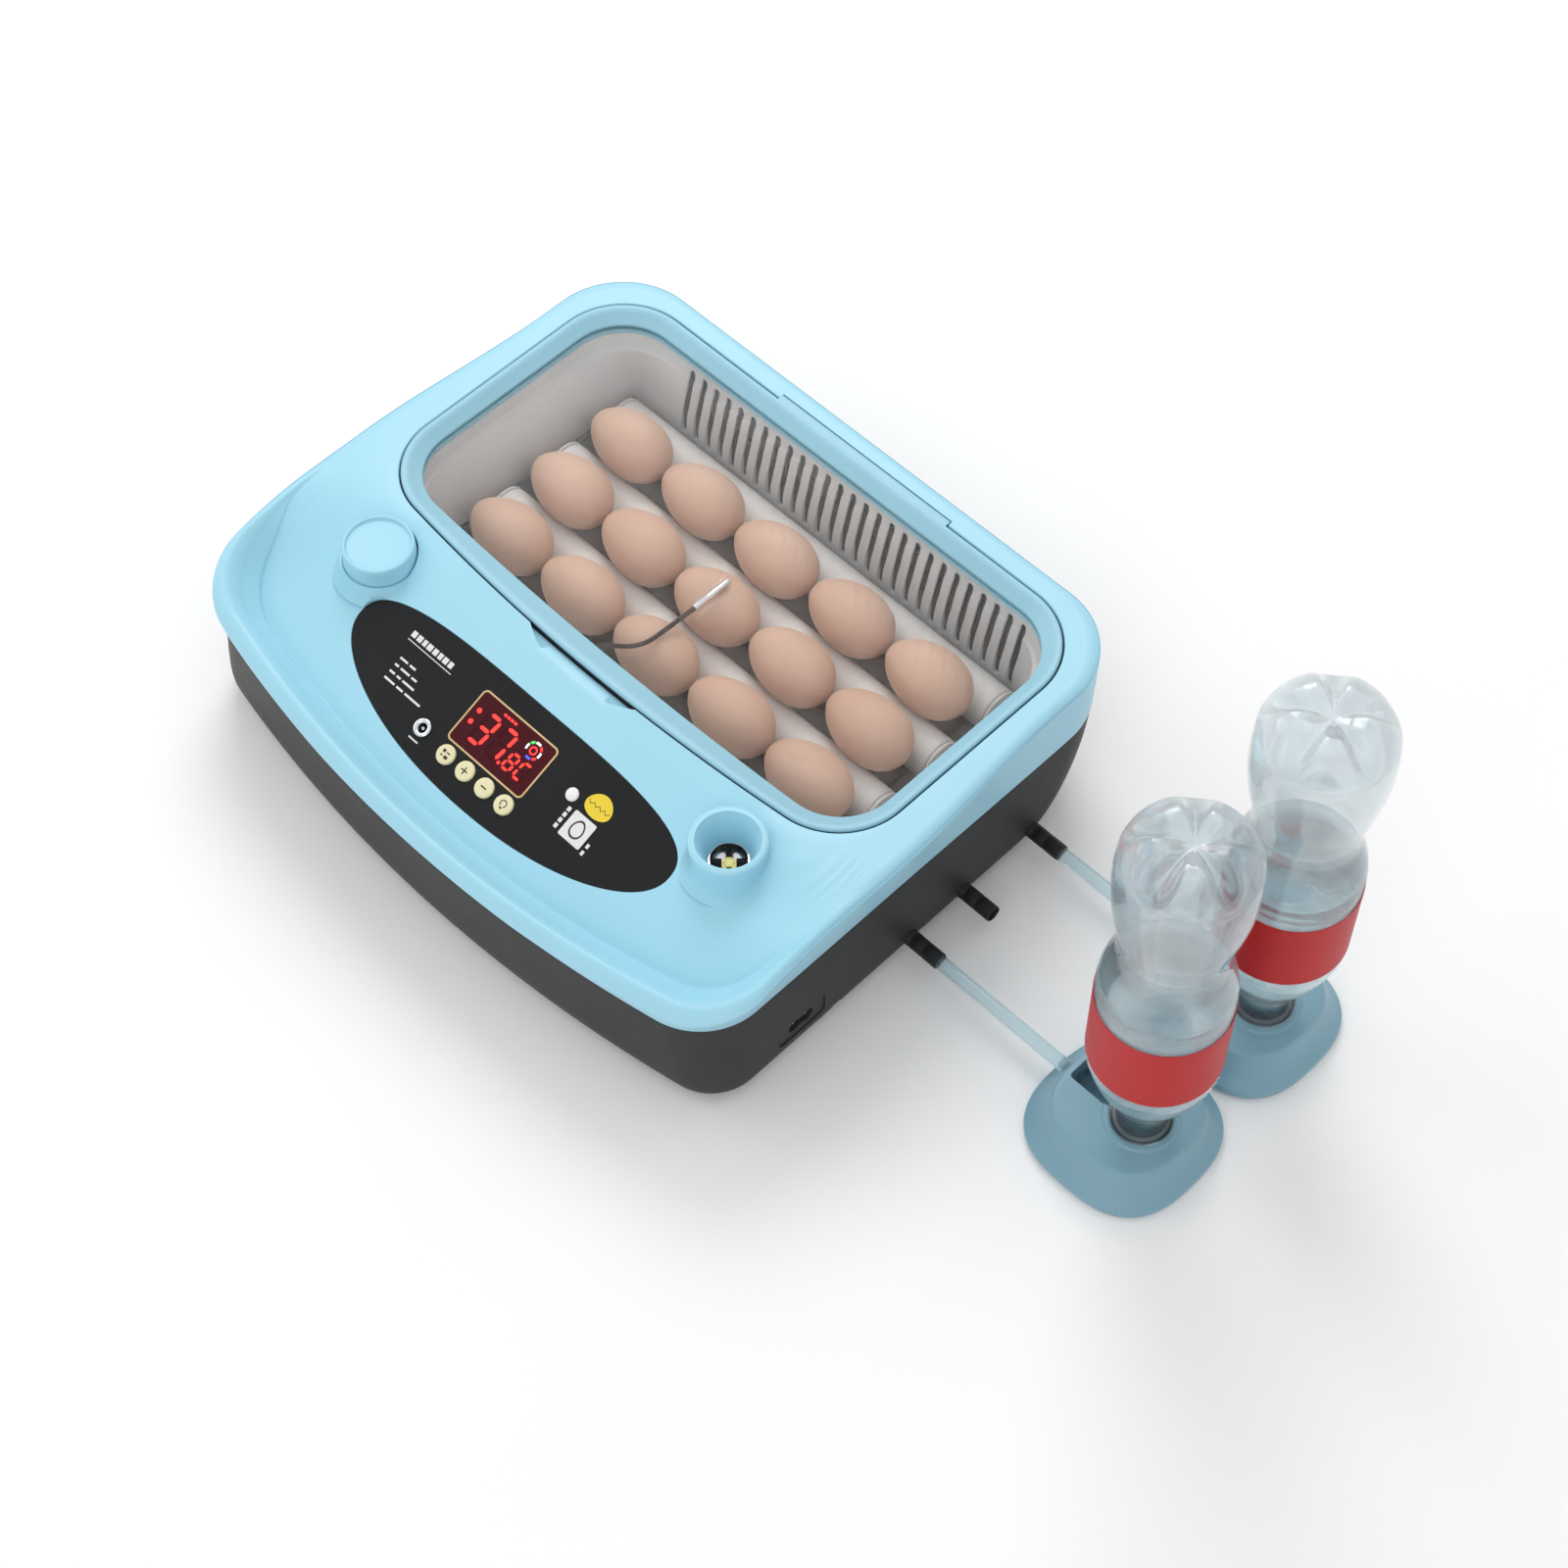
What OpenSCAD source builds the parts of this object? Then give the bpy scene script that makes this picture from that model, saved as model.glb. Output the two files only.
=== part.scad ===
/* [Body] */
// Half width of the case at the line between base and top shell
case_half = 197; // [190:1:205]
// Distance from the centre to the front of the case
case_front = 171; // [160:1:180]
// Distance from the centre to the back of the case
case_back = 168; // [160:1:175]
// Height of the flat top of the case
deck_z = 105; // [100:1:112]
// Height of the line between base and top shell
split_z = 68; // [64:1:72]
// Wall thickness of the mouldings
wall = 2.6; // [2:0.1:3.4]

/* [Eggs and rollers] */
// Largest diameter of one egg
egg_d = 38.2; // [36:0.1:38.4]
// Length of one egg
egg_len = 55.4; // [52:0.1:57]
// Spacing of the eggs along a row
egg_pitch = 58; // [57:0.5:60]
// Distance between roller axes, which is also the row spacing
row_pitch = 46; // [46:1:46]
// Outside diameter of a roller
roller_d = 27; // [25:0.5:27]
// Height of the roller axes
roller_z = 42.5; // [42:0.5:43]
// Height of the egg axes
egg_z = 66; // [66:0.5:68]

/* [Turning gears] */
// Gear module
gear_m = 1; // [1:0.25:1]
// Teeth on each roller gear
teeth_roller = 30; // [30:1:30]
// Teeth on each idler gear
teeth_idler = 16; // [16:1:16]
// Teeth on the motor pinion
teeth_pinion = 12; // [12:1:12]

/* [Controls] */
// Diameter of a push button
button_d = 11.2; // [10:0.1:11.4]
// Travel of a push button
button_travel = 0.8; // [0.5:0.1:0.8]
// Spacing of the push buttons
button_pitch = 15; // [14:0.5:16]

/* [Feeders] */
// Distance between the two water stands
stand_pitch = 95; // [95:1:110]
// Outside diameter of a water hose
hose_d = 8; // [7:0.5:8]
// Largest diameter of a bottle
bottle_d = 68; // [64:1:69]

/* [Assembly] */
// Sub-part to draw, or all of them

/* [Hidden] */

shell_blue = [0.66, 0.87, 0.95];
frame_blue = [0.58, 0.75, 0.84];
base_grey = [0.20, 0.20, 0.21];
liner_grey = [0.74, 0.73, 0.71];
dark_grey = [0.14, 0.14, 0.15];
roller_white = [0.86, 0.85, 0.84];
steel = [0.72, 0.73, 0.75];
egg_tan = [0.80, 0.60, 0.47];
stand_blue = [0.42, 0.58, 0.65];
rubber_black = [0.05, 0.05, 0.05];
cream = [0.93, 0.89, 0.70];

// Row positions from front to back
roller_y = [-19, 27, 73, 119];
row_y = [4, 50, 96];

// Front control slope: its grade, angle and the line where it leaves the flat top
grade = 0.44;
slope_a = atan(grade);
bend_y = -55;
panel_x = -1.9;
panel_y = -106.5;

// Outlines share one point count, so that any two of them can be joined by a skin
arc_n = 9;
side_n = 15;
back_n = 5;
front_n = 17;
outline_n = 4 * (arc_n + 1) + 2 * side_n + back_n + front_n;

function deck(y) = let (d = bend_y - y) deck_z - grade * (d + norm([d, 6])) / 2;
function flat_or_deck(y) = y > bend_y + 14 ? deck_z : deck(y);
function arc(cx, cy, r, a, b) =
    [for (i = [0:arc_n]) [cx + r * cos(a + (b - a) * i / arc_n), cy + r * sin(a + (b - a) * i / arc_n)]];
function between(p, q, n) = [for (i = [1:n]) p + (q - p) * i / (n + 1)];
function denser(p, q, n, e) = [for (i = [1:n]) q + (p - q) * pow(1 - i / (n + 1), e)];

function side_up(hw, ya, yf) = let (s = denser([hw, ya], [hw, yf], side_n, 1.9)) [for (i = [side_n - 1:-1:0]) s[i]];

// Rounded rectangle with a bowed front edge, counter-clockwise from the right rear corner
function outline(hw, yf, yb, rf, rb, bow) =
    let (
        t = atan(2 * bow / (hw - rf)),
        xe = hw - rf + rf * sin(t),
        cy = yf + bow + rf * cos(t)
    )
    concat(
        arc(hw - rb, yb - rb, rb, 0, 90),
        between([hw - rb, yb], [rb - hw, yb], back_n),
        arc(rb - hw, yb - rb, rb, 90, 180),
        denser([-hw, yb - rb], [-hw, cy], side_n, 1.9),
        arc(rf - hw, cy, rf, 180, 270 - t),
        [for (i = [1:front_n]) let (x = -xe + 2 * xe * i / (front_n + 1)) [x, yf + bow * pow(x / xe, 2)]],
        arc(hw - rf, cy, rf, 270 + t, 360),
        side_up(hw, yb - rb, cy)
    );
function lift(pts, z) = [for (p = pts) [p[0], p[1], z]];
function mix(a, b, t) = [for (i = [0:len(a) - 1]) a[i] + (b[i] - a[i]) * t];

// Squircle outline for the water stands and the control panel
function squircle(cx, cy, a, b, e, n) =
    [for (i = [0:n - 1]) let (t = 360 * i / n, c = cos(t), s = sin(t))
        [cx + a * sign(c) * pow(abs(c), 2 / e), cy + b * sign(s) * pow(abs(s), 2 / e)]];

// Panel outline: a squircle whose ends sweep back, parallel to the bowed front edge
function panel_shape(a, b) = [for (p = squircle(0, 0, a, b, 2.3, 96)) [p[0], p[1] + 10 * pow(p[0] / a, 2)]];

// Skin through a list of rings that all have the same number of points
function strip(n, k, m) = [for (j = [0:n - 1]) let (i = (j + 1) % n) each
    [[k * n + j, m * n + j, k * n + i], [k * n + i, m * n + j, m * n + i]]];

// Ring-shaped solid: the last ring joins the first
module hoop(rings) {
    n = len(rings[0]);
    c = len(rings);
    polyhedron(
        points = [for (r = rings) each r],
        faces = [for (k = [0:c - 1]) each strip(n, k, (k + 1) % c)]
    );
}

// Solid with flat ends at the first and last ring, each end a fan about its middle
function middle(r) = (r[0] + r[floor(len(r) / 4)] + r[floor(len(r) / 2)] + r[floor(len(r) * 3 / 4)]) / 4;
module loft(rings) {
    n = len(rings[0]);
    c = len(rings);
    polyhedron(
        points = concat([for (r = rings) each r], [middle(rings[0]), middle(rings[c - 1])]),
        faces = concat(
            [for (j = [0:n - 1]) [j, (j + 1) % n, c * n]],
            [for (k = [0:c - 2]) each strip(n, k, k + 1)],
            [for (j = [0:n - 1]) [(c - 1) * n + (j + 1) % n, (c - 1) * n + j, c * n + 1]]
        )
    );
}

// Local frame of the sloping control panel
module on_slope(x, y) {
    translate([x, y, deck_z + (y - bend_y) * grade]) rotate([slope_a, 0, 0]) children();
}
module along_x(x0, x1, r, y, z) {
    translate([x0, y, z]) rotate([0, 90, 0]) cylinder(h = x1 - x0, r = r, $fn = 64);
}
module box(x0, x1, y0, y1, z0, z1) {
    translate([x0, y0, z0]) cube([x1 - x0, y1 - y0, z1 - z0]);
}

// Swept tube for the hoses and the probe lead
function unit(v) = v / norm(v);
function ring_at(p, d, r, n) =
    let (
        u = unit(cross(d, abs(d[2]) > 0.9 ? [0, 1, 0] : [0, 0, 1])),
        v = cross(d, u)
    )
    [for (j = [0:n - 1]) p + r * (cos(360 * j / n) * u + sin(360 * j / n) * v)];
function cat(p, q, s, t, w) = 0.5 * ((2 * q) + (s - p) * w + (2 * p - 5 * q + 4 * s - t) * w * w
    + (3 * q - p - 3 * s + t) * w * w * w);
function smooth(pts, m) = concat([for (i = [0:len(pts) - 2]) let (
        p = pts[max(i - 1, 0)], q = pts[i], s = pts[i + 1], t = pts[min(i + 2, len(pts) - 1)])
        each [for (j = [0:m - 1]) cat(p, q, s, t, j / m)]], [pts[len(pts) - 1]]);
module cord(pts, r, n) {
    c = len(pts);
    loft([for (i = [0:c - 1]) ring_at(pts[i], unit(pts[min(i + 1, c - 1)] - pts[max(i - 1, 0)]), r, n)]);
}

// Involute gear outline with a tooth centred on angle zero; slack is the backlash per flank
pressure = 20;
slack = 0.06;
function inv(a) = tan(a) * 180 / PI - a;
function flank(z, r) =
    let (rp = gear_m * z / 2, rb = rp * cos(pressure), rr = max(r, rb))
    90 / z - slack * 180 / PI / rp + inv(pressure) - inv(acos(rb / rr));
function gear_pts(z) =
    let (
        rp = gear_m * z / 2,
        radii = [rp - 1.25 * gear_m, rp - 0.45 * gear_m, rp + 0.25 * gear_m, rp + 0.95 * gear_m]
    )
    [for (i = [0:z - 1]) each concat(
        [for (r = radii) let (a = 360 * i / z - flank(z, r)) r * [cos(a), sin(a)]],
        [for (k = [3:-1:0]) let (r = radii[k], a = 360 * i / z + flank(z, r)) r * [cos(a), sin(a)]])];
module gear_x(z, x0, x1, y, h, turn, bore) {
    translate([x0, y, h]) rotate([90, 0, 90]) rotate([0, 0, turn]) difference() {
        linear_extrude(height = x1 - x0) polygon(gear_pts(z));
        translate([0, 0, -1]) cylinder(h = x1 - x0 + 2, r = bore, $fn = 48);
    }
}

// Case outlines from the foot up: height, half width, front, back, front corner radius
base_rows = [[3, 192, 162, 124, 28], [6, 198, 166.5, 130, 29], [12, 200, 168.5, 138, 30],
             [22, 200.2, 169.8, 147.5, 32], [36, 199.8, 170.3, 156, 35], [50, 198.8, 170.7, 162.5, 38],
             [split_z, case_half, case_front, case_back, 40]];
function case_ring(hw, f, b) = outline(hw, -f, b, 40, 48, 18);
base_out = [for (r = base_rows) lift(outline(r[1], -r[2], r[3], r[4], 48, 18), r[0])];
base_in = [for (k = [6:-1:3]) let (r = base_rows[k])
    lift(outline(r[1] - wall, wall - r[2], r[3] - wall, r[4] - wall, 45.4, 18), r[0])];
base_floor = [for (z = [16, 10]) lift(outline(195.5, -164, 133, 28, 43, 17.5), z)];

port_y = [-4, 37, 91];
port_z = 13.5;
boss_at = [[-172, -60], [172, -60], [-188, 99], [188, 99]];

// Lid opening outlines
function hatch(d) = outline(181.6 + d, -47 - d, 156 + d, 44 + d, 44 + d, 8);
function mouth(d) = outline(171.5 + d, -31 - d, 145 + d, 35 + d, 35 + d, 4);
ledge_z = 96;

// Top shell skin, from the foot of the skirt over the rim and deck into the lid recess
function rim(y) = y > -60 ? deck_z - 0.6 : 73 + (deck_z - 73.6) * (1 - pow((-60 - y) / 111, 2));
function flare(y) = 1 + 0.036 * max(0, min(1, (110 - y) / 130));
edge_2d = [for (p = case_ring(case_half, case_front + 0.5, case_back + 2)) [p[0] * flare(p[1]), p[1]]];
crest_2d = [for (p = case_ring(case_half - 4, case_front - 6, case_back - 1.5)) [p[0] * flare(p[1]), p[1]]];
inner_2d = [for (p = case_ring(case_half - 14, case_front - 21, case_back - 8)) [p[0] * flare(p[1]), p[1]]];
hatch_2d = hatch(0);

// The crease runs round the front and dies out along both sides
function open_up(y) = let (t = max(0, min(1, (-72 - y) / 48))) t * t * (3 - 2 * t);
crease_2d = [for (i = [0:outline_n - 1]) let (w = 0.15 + 0.85 * open_up(crest_2d[i][1]))
    crest_2d[i] * (1 - w) + inner_2d[i] * w];

// The deck dishes up to the rim along the sides
function dish(p) = let (y = p[1], s = max(0, (abs(p[0]) - 150) / 54))
    flat_or_deck(y) + max(0, rim(y) - flat_or_deck(y)) * (1 - open_up(y)) * min(1, s * s);
function on_deck(pts, drop) = [for (p = pts) [p[0], p[1], dish(p) - drop]];
function crest_z(y) = max(rim(y), flat_or_deck(y) - 0.2);
lip_3d = [for (i = [0:outline_n - 1]) let (c = crest_2d[i], d = crease_2d[i])
    [(c[0] + d[0]) / 2, (c[1] + d[1]) / 2, 0.55 * crest_z(c[1]) + 0.45 * dish(d)]];
under_3d = [for (i = [0:outline_n - 1]) let (
        c = crest_2d[i],
        l = lip_3d[i],
        q = [(0.3 * c[0] + 0.7 * l[0]) * 0.992, (0.3 * c[1] + 0.7 * l[1]) * 0.992],
        w = open_up(q[1]),
        z = l[2] - wall - 0.8
    ) [q[0], q[1], z * w + min(z, dish(q) - wall - 0.8) * (1 - w)]];
inside_2d = case_ring(case_half - wall, case_front - wall, case_back - wall);
shell_out = [
    lift(case_ring(case_half, case_front, case_back), split_z + 0.4),
    [for (p = edge_2d) [p[0], p[1], max(rim(p[1]) - 5, split_z + 1)]],
    [for (p = edge_2d) [p[0] * 0.9985, p[1] * 0.998, rim(p[1]) - 2.4]],
    [for (p = mix(edge_2d, crest_2d, 0.45)) [p[0], p[1], rim(p[1]) - 0.5]],
    [for (p = crest_2d) [p[0], p[1], crest_z(p[1])]],
    lip_3d,
    on_deck(crease_2d, 0),
    on_deck(mix(crease_2d, hatch_2d, 0.2), 0),
    on_deck(mix(crease_2d, hatch_2d, 0.4), 0),
    on_deck(mix(crease_2d, hatch_2d, 0.6), 0),
    on_deck(mix(crease_2d, hatch_2d, 0.75), 0),
    on_deck(mix(crease_2d, hatch_2d, 0.9), 0),
    lift(hatch_2d, deck_z),
    lift(hatch_2d, ledge_z),
    lift(mouth(0), ledge_z),
    lift(mouth(0), ledge_z - 2.8)
];
shell_in = [
    lift(hatch(wall), ledge_z - 2.8),
    lift(hatch(wall), deck_z - wall - 1),
    on_deck(mix(crease_2d, hatch(wall), 0.75), wall),
    on_deck(mix(crease_2d, hatch(wall), 0.45), wall),
    on_deck(mix(crease_2d, hatch(wall), 0.12), wall),
    under_3d,
    [for (i = [0:outline_n - 1]) let (p = inside_2d[i])
        [p[0], p[1], max(min(rim(p[1]) - 6.4, under_3d[i][2] - 3.5), split_z + 0.7)]],
    lift(inside_2d, split_z + 0.4)
];

hinge_x0 = -56;
hinge_x1 = 72;
hinge_z = deck_z - 1.3;

cup = [134, -71];
vent = [-134, -71];
cup_z = 110;

module base_shell() {
    color(base_grey) difference() {
        union() {
            loft(concat(base_out, base_in, base_floor));
            for (b = boss_at) translate([b[0], b[1], 9]) cylinder(h = split_z - 10, r = 5.6, $fn = 48);
            box(185, 198.8, -104, -66, 12, 37);
            box(-166, -160, 62, 84, 9, 10.5);
        }
        // Hollow underside
        translate([0, 0, -1]) linear_extrude(height = 8) polygon(outline(166, -140, 104, 30, 34, 14));
        // Arched sides between the corner feet
        for (s = [-1, 1]) box(min(s * 150, s * 210), max(s * 150, s * 210), -76, 76, -1, 8);
        // Hose ports
        for (y = port_y) along_x(178, 206, 4.8, y, port_z);
        // Mains inlet pocket and the slot under it
        translate([188.5, -85, 25]) rotate([90, 0, 90]) linear_extrude(height = 16) union() {
            square([26, 18], center = true);
            square([34, 10], center = true);
            for (x = [-13, 13], z = [-5, 5]) translate([x, z]) circle(r = 4, $fn = 32);
        }
        box(190, 205, -62, -55, 2, 11.5);
        for (b = boss_at) {
            translate([b[0], b[1], -1]) cylinder(h = 60, r = 3.6, $fn = 48);
            translate([b[0], b[1], 50]) cylinder(h = 30, r = 1.7, $fn = 32);
        }
    }
    // Support pad in the middle of the underside
    color(base_grey) cylinder(h = 8, r = 20, $fn = 64);
}

module top_shell() {
    color(shell_blue) difference() {
        union() {
            hoop(concat(shell_out, shell_in));
            for (b = boss_at) translate([b[0], b[1], split_z - 1]) cylinder(h = 101 - split_z, r = 5.2, $fn = 48);
            // Candler cup and vent collar
            translate([cup[0], cup[1], 84]) cylinder(h = cup_z - 85, r = 21, $fn = 72);
            translate([cup[0], cup[1], cup_z - 1]) cylinder(h = 1, r1 = 21, r2 = 20, $fn = 72);
            translate([cup[0], cup[1], 88]) cylinder(h = 10, r1 = 25, r2 = 21, $fn = 72);
            translate([vent[0], vent[1], 86]) cylinder(h = 11.5, r1 = 25, r2 = 22, $fn = 72);
            // Hinge ribs behind the lid
            box(-60, 76, 156.5, 163, 97, deck_z - 1);
        }
        // Candler cup bore
        translate([cup[0], cup[1], 92]) cylinder(h = cup_z - 91.9, r1 = 11, r2 = 17, $fn = 72);
        translate([cup[0], cup[1], 80]) cylinder(h = 20, r = 10.8, $fn = 64);
        // Vent pocket and hole
        translate([vent[0], vent[1], 97.5]) cylinder(h = 20, r = 20.9, $fn = 72);
        translate([vent[0], vent[1], 80]) cylinder(h = 30, r = 9.4, $fn = 64);
        // Seat for the panel foil, display window, buttons, jack and lamp
        on_slope(panel_x, panel_y) translate([0, 0, -0.8]) linear_extrude(height = 6)
            polygon(panel_shape(119.8, 34.5));
        on_slope(-4, -101.2) translate([-26, -14, -6]) cube([52, 28, 12]);
        for (i = [0:3]) on_slope(-25.5 + button_pitch * i, -123) translate([0, 0, -10]) cylinder(h = 20, r = button_d / 2 + 0.35, $fn = 48);
        on_slope(-46.5, -120.7) translate([0, 0, -10]) cylinder(h = 20, r = 4.1, $fn = 48);
        on_slope(45.8, -97.9) translate([0, 0, -10]) cylinder(h = 20, r = 2.6, $fn = 48);
        // Finger scoop in front of the lid
        translate([0, -57, deck_z]) rotate([-21, 0, 0]) translate([0, 88, 0]) cylinder(h = 30, r = 88, $fn = 180);
        // Screw holes and hinge pockets
        for (b = boss_at) translate([b[0], b[1], split_z - 2]) cylinder(h = 14, r = 1.45, $fn = 32);
        box(hinge_x0 - 0.4, hinge_x1 + 0.4, 154, 159.6, hinge_z - 2.4, deck_z + 2);
        along_x(hinge_x0 - 3, hinge_x1 + 3, 0.82, 157.2, hinge_z);
    }
}

module chamber_liner() {
    color(liner_grey) difference() {
        union() {
            hoop([
                lift(outline(154.8, -36.8, 136.8, 6.5, 6.5, 0.5), 27),
                lift(outline(155.6, -36.8, 138.3, 8.5, 8.5, 0.5), 62),
                lift(outline(172.6, -34.6, 147.2, 36, 36, 2), 93),
                lift(outline(170.4, -32.4, 145, 34, 34, 2), 93),
                lift(outline(168.2, -33, 143.6, 33, 33, 2), 84),
                lift(outline(166.4, -33, 142.8, 32, 32, 2), 83),
                lift(outline(153.4, -34.6, 136, 6.5, 6.5, 0.5), 60),
                lift(outline(152.6, -34.6, 134.6, 4.5, 4.5, 0.5), 27)
            ]);
            for (y = row_y) along_x(-166, -153.6, 2.5, y, roller_z);
        }
        for (y = roller_y) along_x(-170, -140, 4.6, y, roller_z);
        translate([0, 160, 0]) rotate([90, 0, 0]) linear_extrude(height = 30) for (i = [0:26]) translate([-114 + 9.77 * i, 0]) {
            translate([-2.1, 47]) square([4.2, 41]);
            translate([0, 47]) circle(r = 2.1, $fn = 20);
            translate([0, 88]) circle(r = 2.1, $fn = 20);
        }
        translate([-22, -30, 78.4]) rotate([90, 0, 0]) cylinder(h = 12, r = 3.4, $fn = 32);
    }
}

module water_tray() {
    color(dark_grey) {
        difference() {
            box(-150, 150, -33, 133, 10.6, 24);
            box(-148.2, 148.2, -31.2, 22, 12.6, 30);
            box(-148.2, 148.2, 24, 72, 12.6, 30);
            box(-148.2, 148.2, 74, 131.2, 12.6, 30);
            for (y = port_y) along_x(140, 160, 2, y, port_z + 1.2);
        }
        for (y = port_y) difference() {
            hull() {
                along_x(149.9, 151, 3.0, y, port_z + 1.2);
                along_x(189, 190, 3.0, y, port_z);
            }
            hull() {
                along_x(149, 150, 2, y, port_z + 1.2);
                along_x(190, 191, 2, y, port_z);
            }
        }
    }
}

module roller_frame() {
    color(dark_grey) difference() {
        union() {
            for (x = [-151.8, 149.4]) box(x, x + 2.4, -31.5, 131.5, 24.2, 48.5);
            for (y = row_y) box(-149.5, 149.5, y - 8.8, y + 8.8, 33.5, 36.5);
            for (y = [-33, 130]) box(-149.5, 149.5, y, y + 3, 24.2, 28.2);
            for (x = [-75, 75], y = row_y) box(x - 1.2, x + 1.2, y - 8.8, y + 8.8, 24.2, 33.6);
            for (x = [-75, 75]) box(x - 1.2, x + 1.2, -31, 131, 24.2, 28);
        }
        for (y = roller_y) along_x(-160, 160, 3.06, y, roller_z);
    }
}

module roller(y) {
    color(roller_white) translate([0, y, roller_z]) rotate([0, 90, 0]) rotate_extrude($fn = 96) polygon([
        [3.05, -148.6], [roller_d / 2 - 0.3, -148.6], [roller_d / 2, -148.3], [roller_d / 2, -147.4], [11, -147.4],
        [11, -146], [roller_d / 2 - 0.4, -146], [roller_d / 2, -145.6], [roller_d / 2, 145.6], [roller_d / 2 - 0.4, 146],
        [11, 146], [11, 147.4], [roller_d / 2, 147.4], [roller_d / 2, 148.3], [roller_d / 2 - 0.3, 148.6],
        [3.05, 148.6]]);
}

module axle(y) {
    color(steel) union() {
        along_x(-159, 152.2, 3, y, roller_z);
        gear_x(teeth_roller, -163.5, -158.5, y, roller_z, 0, 1.2);
    }
}

module idler(y) {
    color(cream) gear_x(teeth_idler, -163.5, -158.5, y, roller_z, 180 / teeth_idler, 2.56);
}

module pinion() {
    h = roller_z - gear_m * (teeth_roller + teeth_pinion) / 2;
    color(cream) union() {
        gear_x(teeth_pinion, -163.5, -158.5, roller_y[2], h, 0, 0.8);
        along_x(-171, -163, 2, roller_y[2], h);
    }
}

module turner_motor() {
    h = roller_z - gear_m * (teeth_roller + teeth_pinion) / 2;
    color(steel) difference() {
        union() {
            along_x(-190, -172, 10.8, roller_y[2], h);
            box(-172.5, -166, roller_y[2] - 17, roller_y[2] + 17, 10.2, 33);
        }
        along_x(-173.5, -160, 2.06, roller_y[2], h);
        for (s = [-1, 1]) along_x(-180, -160, 1.6, roller_y[2] + 14 * s, h);
    }
}

module egg_row(y) {
    color(egg_tan) for (i = [-2:2]) translate([egg_pitch * i, y, egg_z]) rotate([0, 90, 0]) rotate_extrude($fn = 72)
        polygon([for (k = [0:30]) let (t = 6 * k)
            [egg_d / 2 * sin(t) * (1 - 0.13 * cos(t)) / 1.0085, -egg_len / 2 * cos(t)]]);
}

module fan_housing() {
    color(dark_grey) {
        difference() {
            box(15, 65, 148, 157, 46, 92.5);
            translate([40, 170, 69.5]) rotate([90, 0, 0]) cylinder(h = 30, r = 21.5, $fn = 72);
            for (x = [18.5, 61.5], z = [49.5, 89]) translate([x, 160, z]) rotate([90, 0, 0]) cylinder(h = 20, r = 1.8, $fn = 32);
        }
        difference() {
            union() {
                translate([40, 157, 69.5]) rotate([90, 0, 0]) cylinder(h = 2, r = 10, $fn = 48);
                box(17, 63, 155, 157, 68, 71);
                box(38.5, 41.5, 155, 157, 47, 92);
            }
            translate([40, 160, 69.5]) rotate([90, 0, 0]) cylinder(h = 8, r = 1.56, $fn = 32);
        }
    }
}

module fan_rotor() {
    color(rubber_black) {
        translate([40, 154.5, 69.5]) rotate([90, 0, 0]) cylinder(h = 6, r = 9, $fn = 48);
        translate([40, 156.6, 69.5]) rotate([90, 0, 0]) cylinder(h = 3, r = 1.5, $fn = 32);
        for (i = [0:6]) translate([40, 151.5, 69.5]) rotate([0, i * 360 / 7, 0]) translate([8, 0, 0])
            rotate([35, 0, 0]) translate([0, -0.6, -3.8]) cube([12, 1.2, 7.6]);
    }
}

module heater() {
    color(steel) {
        box(-100, -14, 150, 154, 60, 80);
        for (i = [0:14]) box(-98 + 6 * i, -97 + 6 * i, 148, 156.5, 58, 82);
        for (x = [-104, -14]) box(x, x + 4, 149, 155.5, 57, 83);
    }
}

module control_board() {
    color([0.10, 0.30, 0.18]) on_slope(-5, -108) {
        translate([-66, -24, -12]) cube([132, 47, 1.6]);
        translate([-24, -6, -10.5]) cube([50, 25, 7]);
        for (i = [0:3]) translate([-23.5 + button_pitch * i, -19.4, -10.5]) cube([6, 6, 2.8]);
        translate([36, -10, -10.5]) cube([14, 9, 4]);
        translate([-62, 4, -10.5]) cube([12, 12, 5]);
    }
}

module panel_overlay() {
    color([0.03, 0.03, 0.03]) difference() {
        on_slope(panel_x, panel_y) translate([0, 0, -0.75]) linear_extrude(height = 0.7)
            polygon(panel_shape(119.5, 34.2));
        for (i = [0:3]) on_slope(-25.5 + button_pitch * i, -123) translate([0, 0, -10]) cylinder(h = 20, r = button_d / 2 + 0.35, $fn = 48);
        on_slope(-46.5, -120.7) translate([0, 0, -10]) cylinder(h = 20, r = 4.1, $fn = 48);
        on_slope(45.8, -97.9) translate([0, 0, -10]) cylinder(h = 20, r = 2.6, $fn = 48);
    }
}

module slab(w, d, r, z0, z1) {
    translate([0, 0, z0]) linear_extrude(height = z1 - z0) union() {
        square([w - 2 * r, d], center = true);
        square([w, d - 2 * r], center = true);
        for (x = [-1, 1], y = [-1, 1]) translate([x * (w / 2 - r), y * (d / 2 - r)]) circle(r = r, $fn = 32);
    }
}

module display_bezel() {
    color(cream) on_slope(-4, -101.2) difference() {
        slab(57.4, 33.4, 3, -0.05, 0.45);
        slab(55.4, 31.4, 2.2, -1, 2);
    }
}

module display_lens() {
    color([0.20, 0.04, 0.06]) on_slope(-4, -101.2) slab(55.3, 31.3, 2.1, -0.05, 0.25);
}

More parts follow.
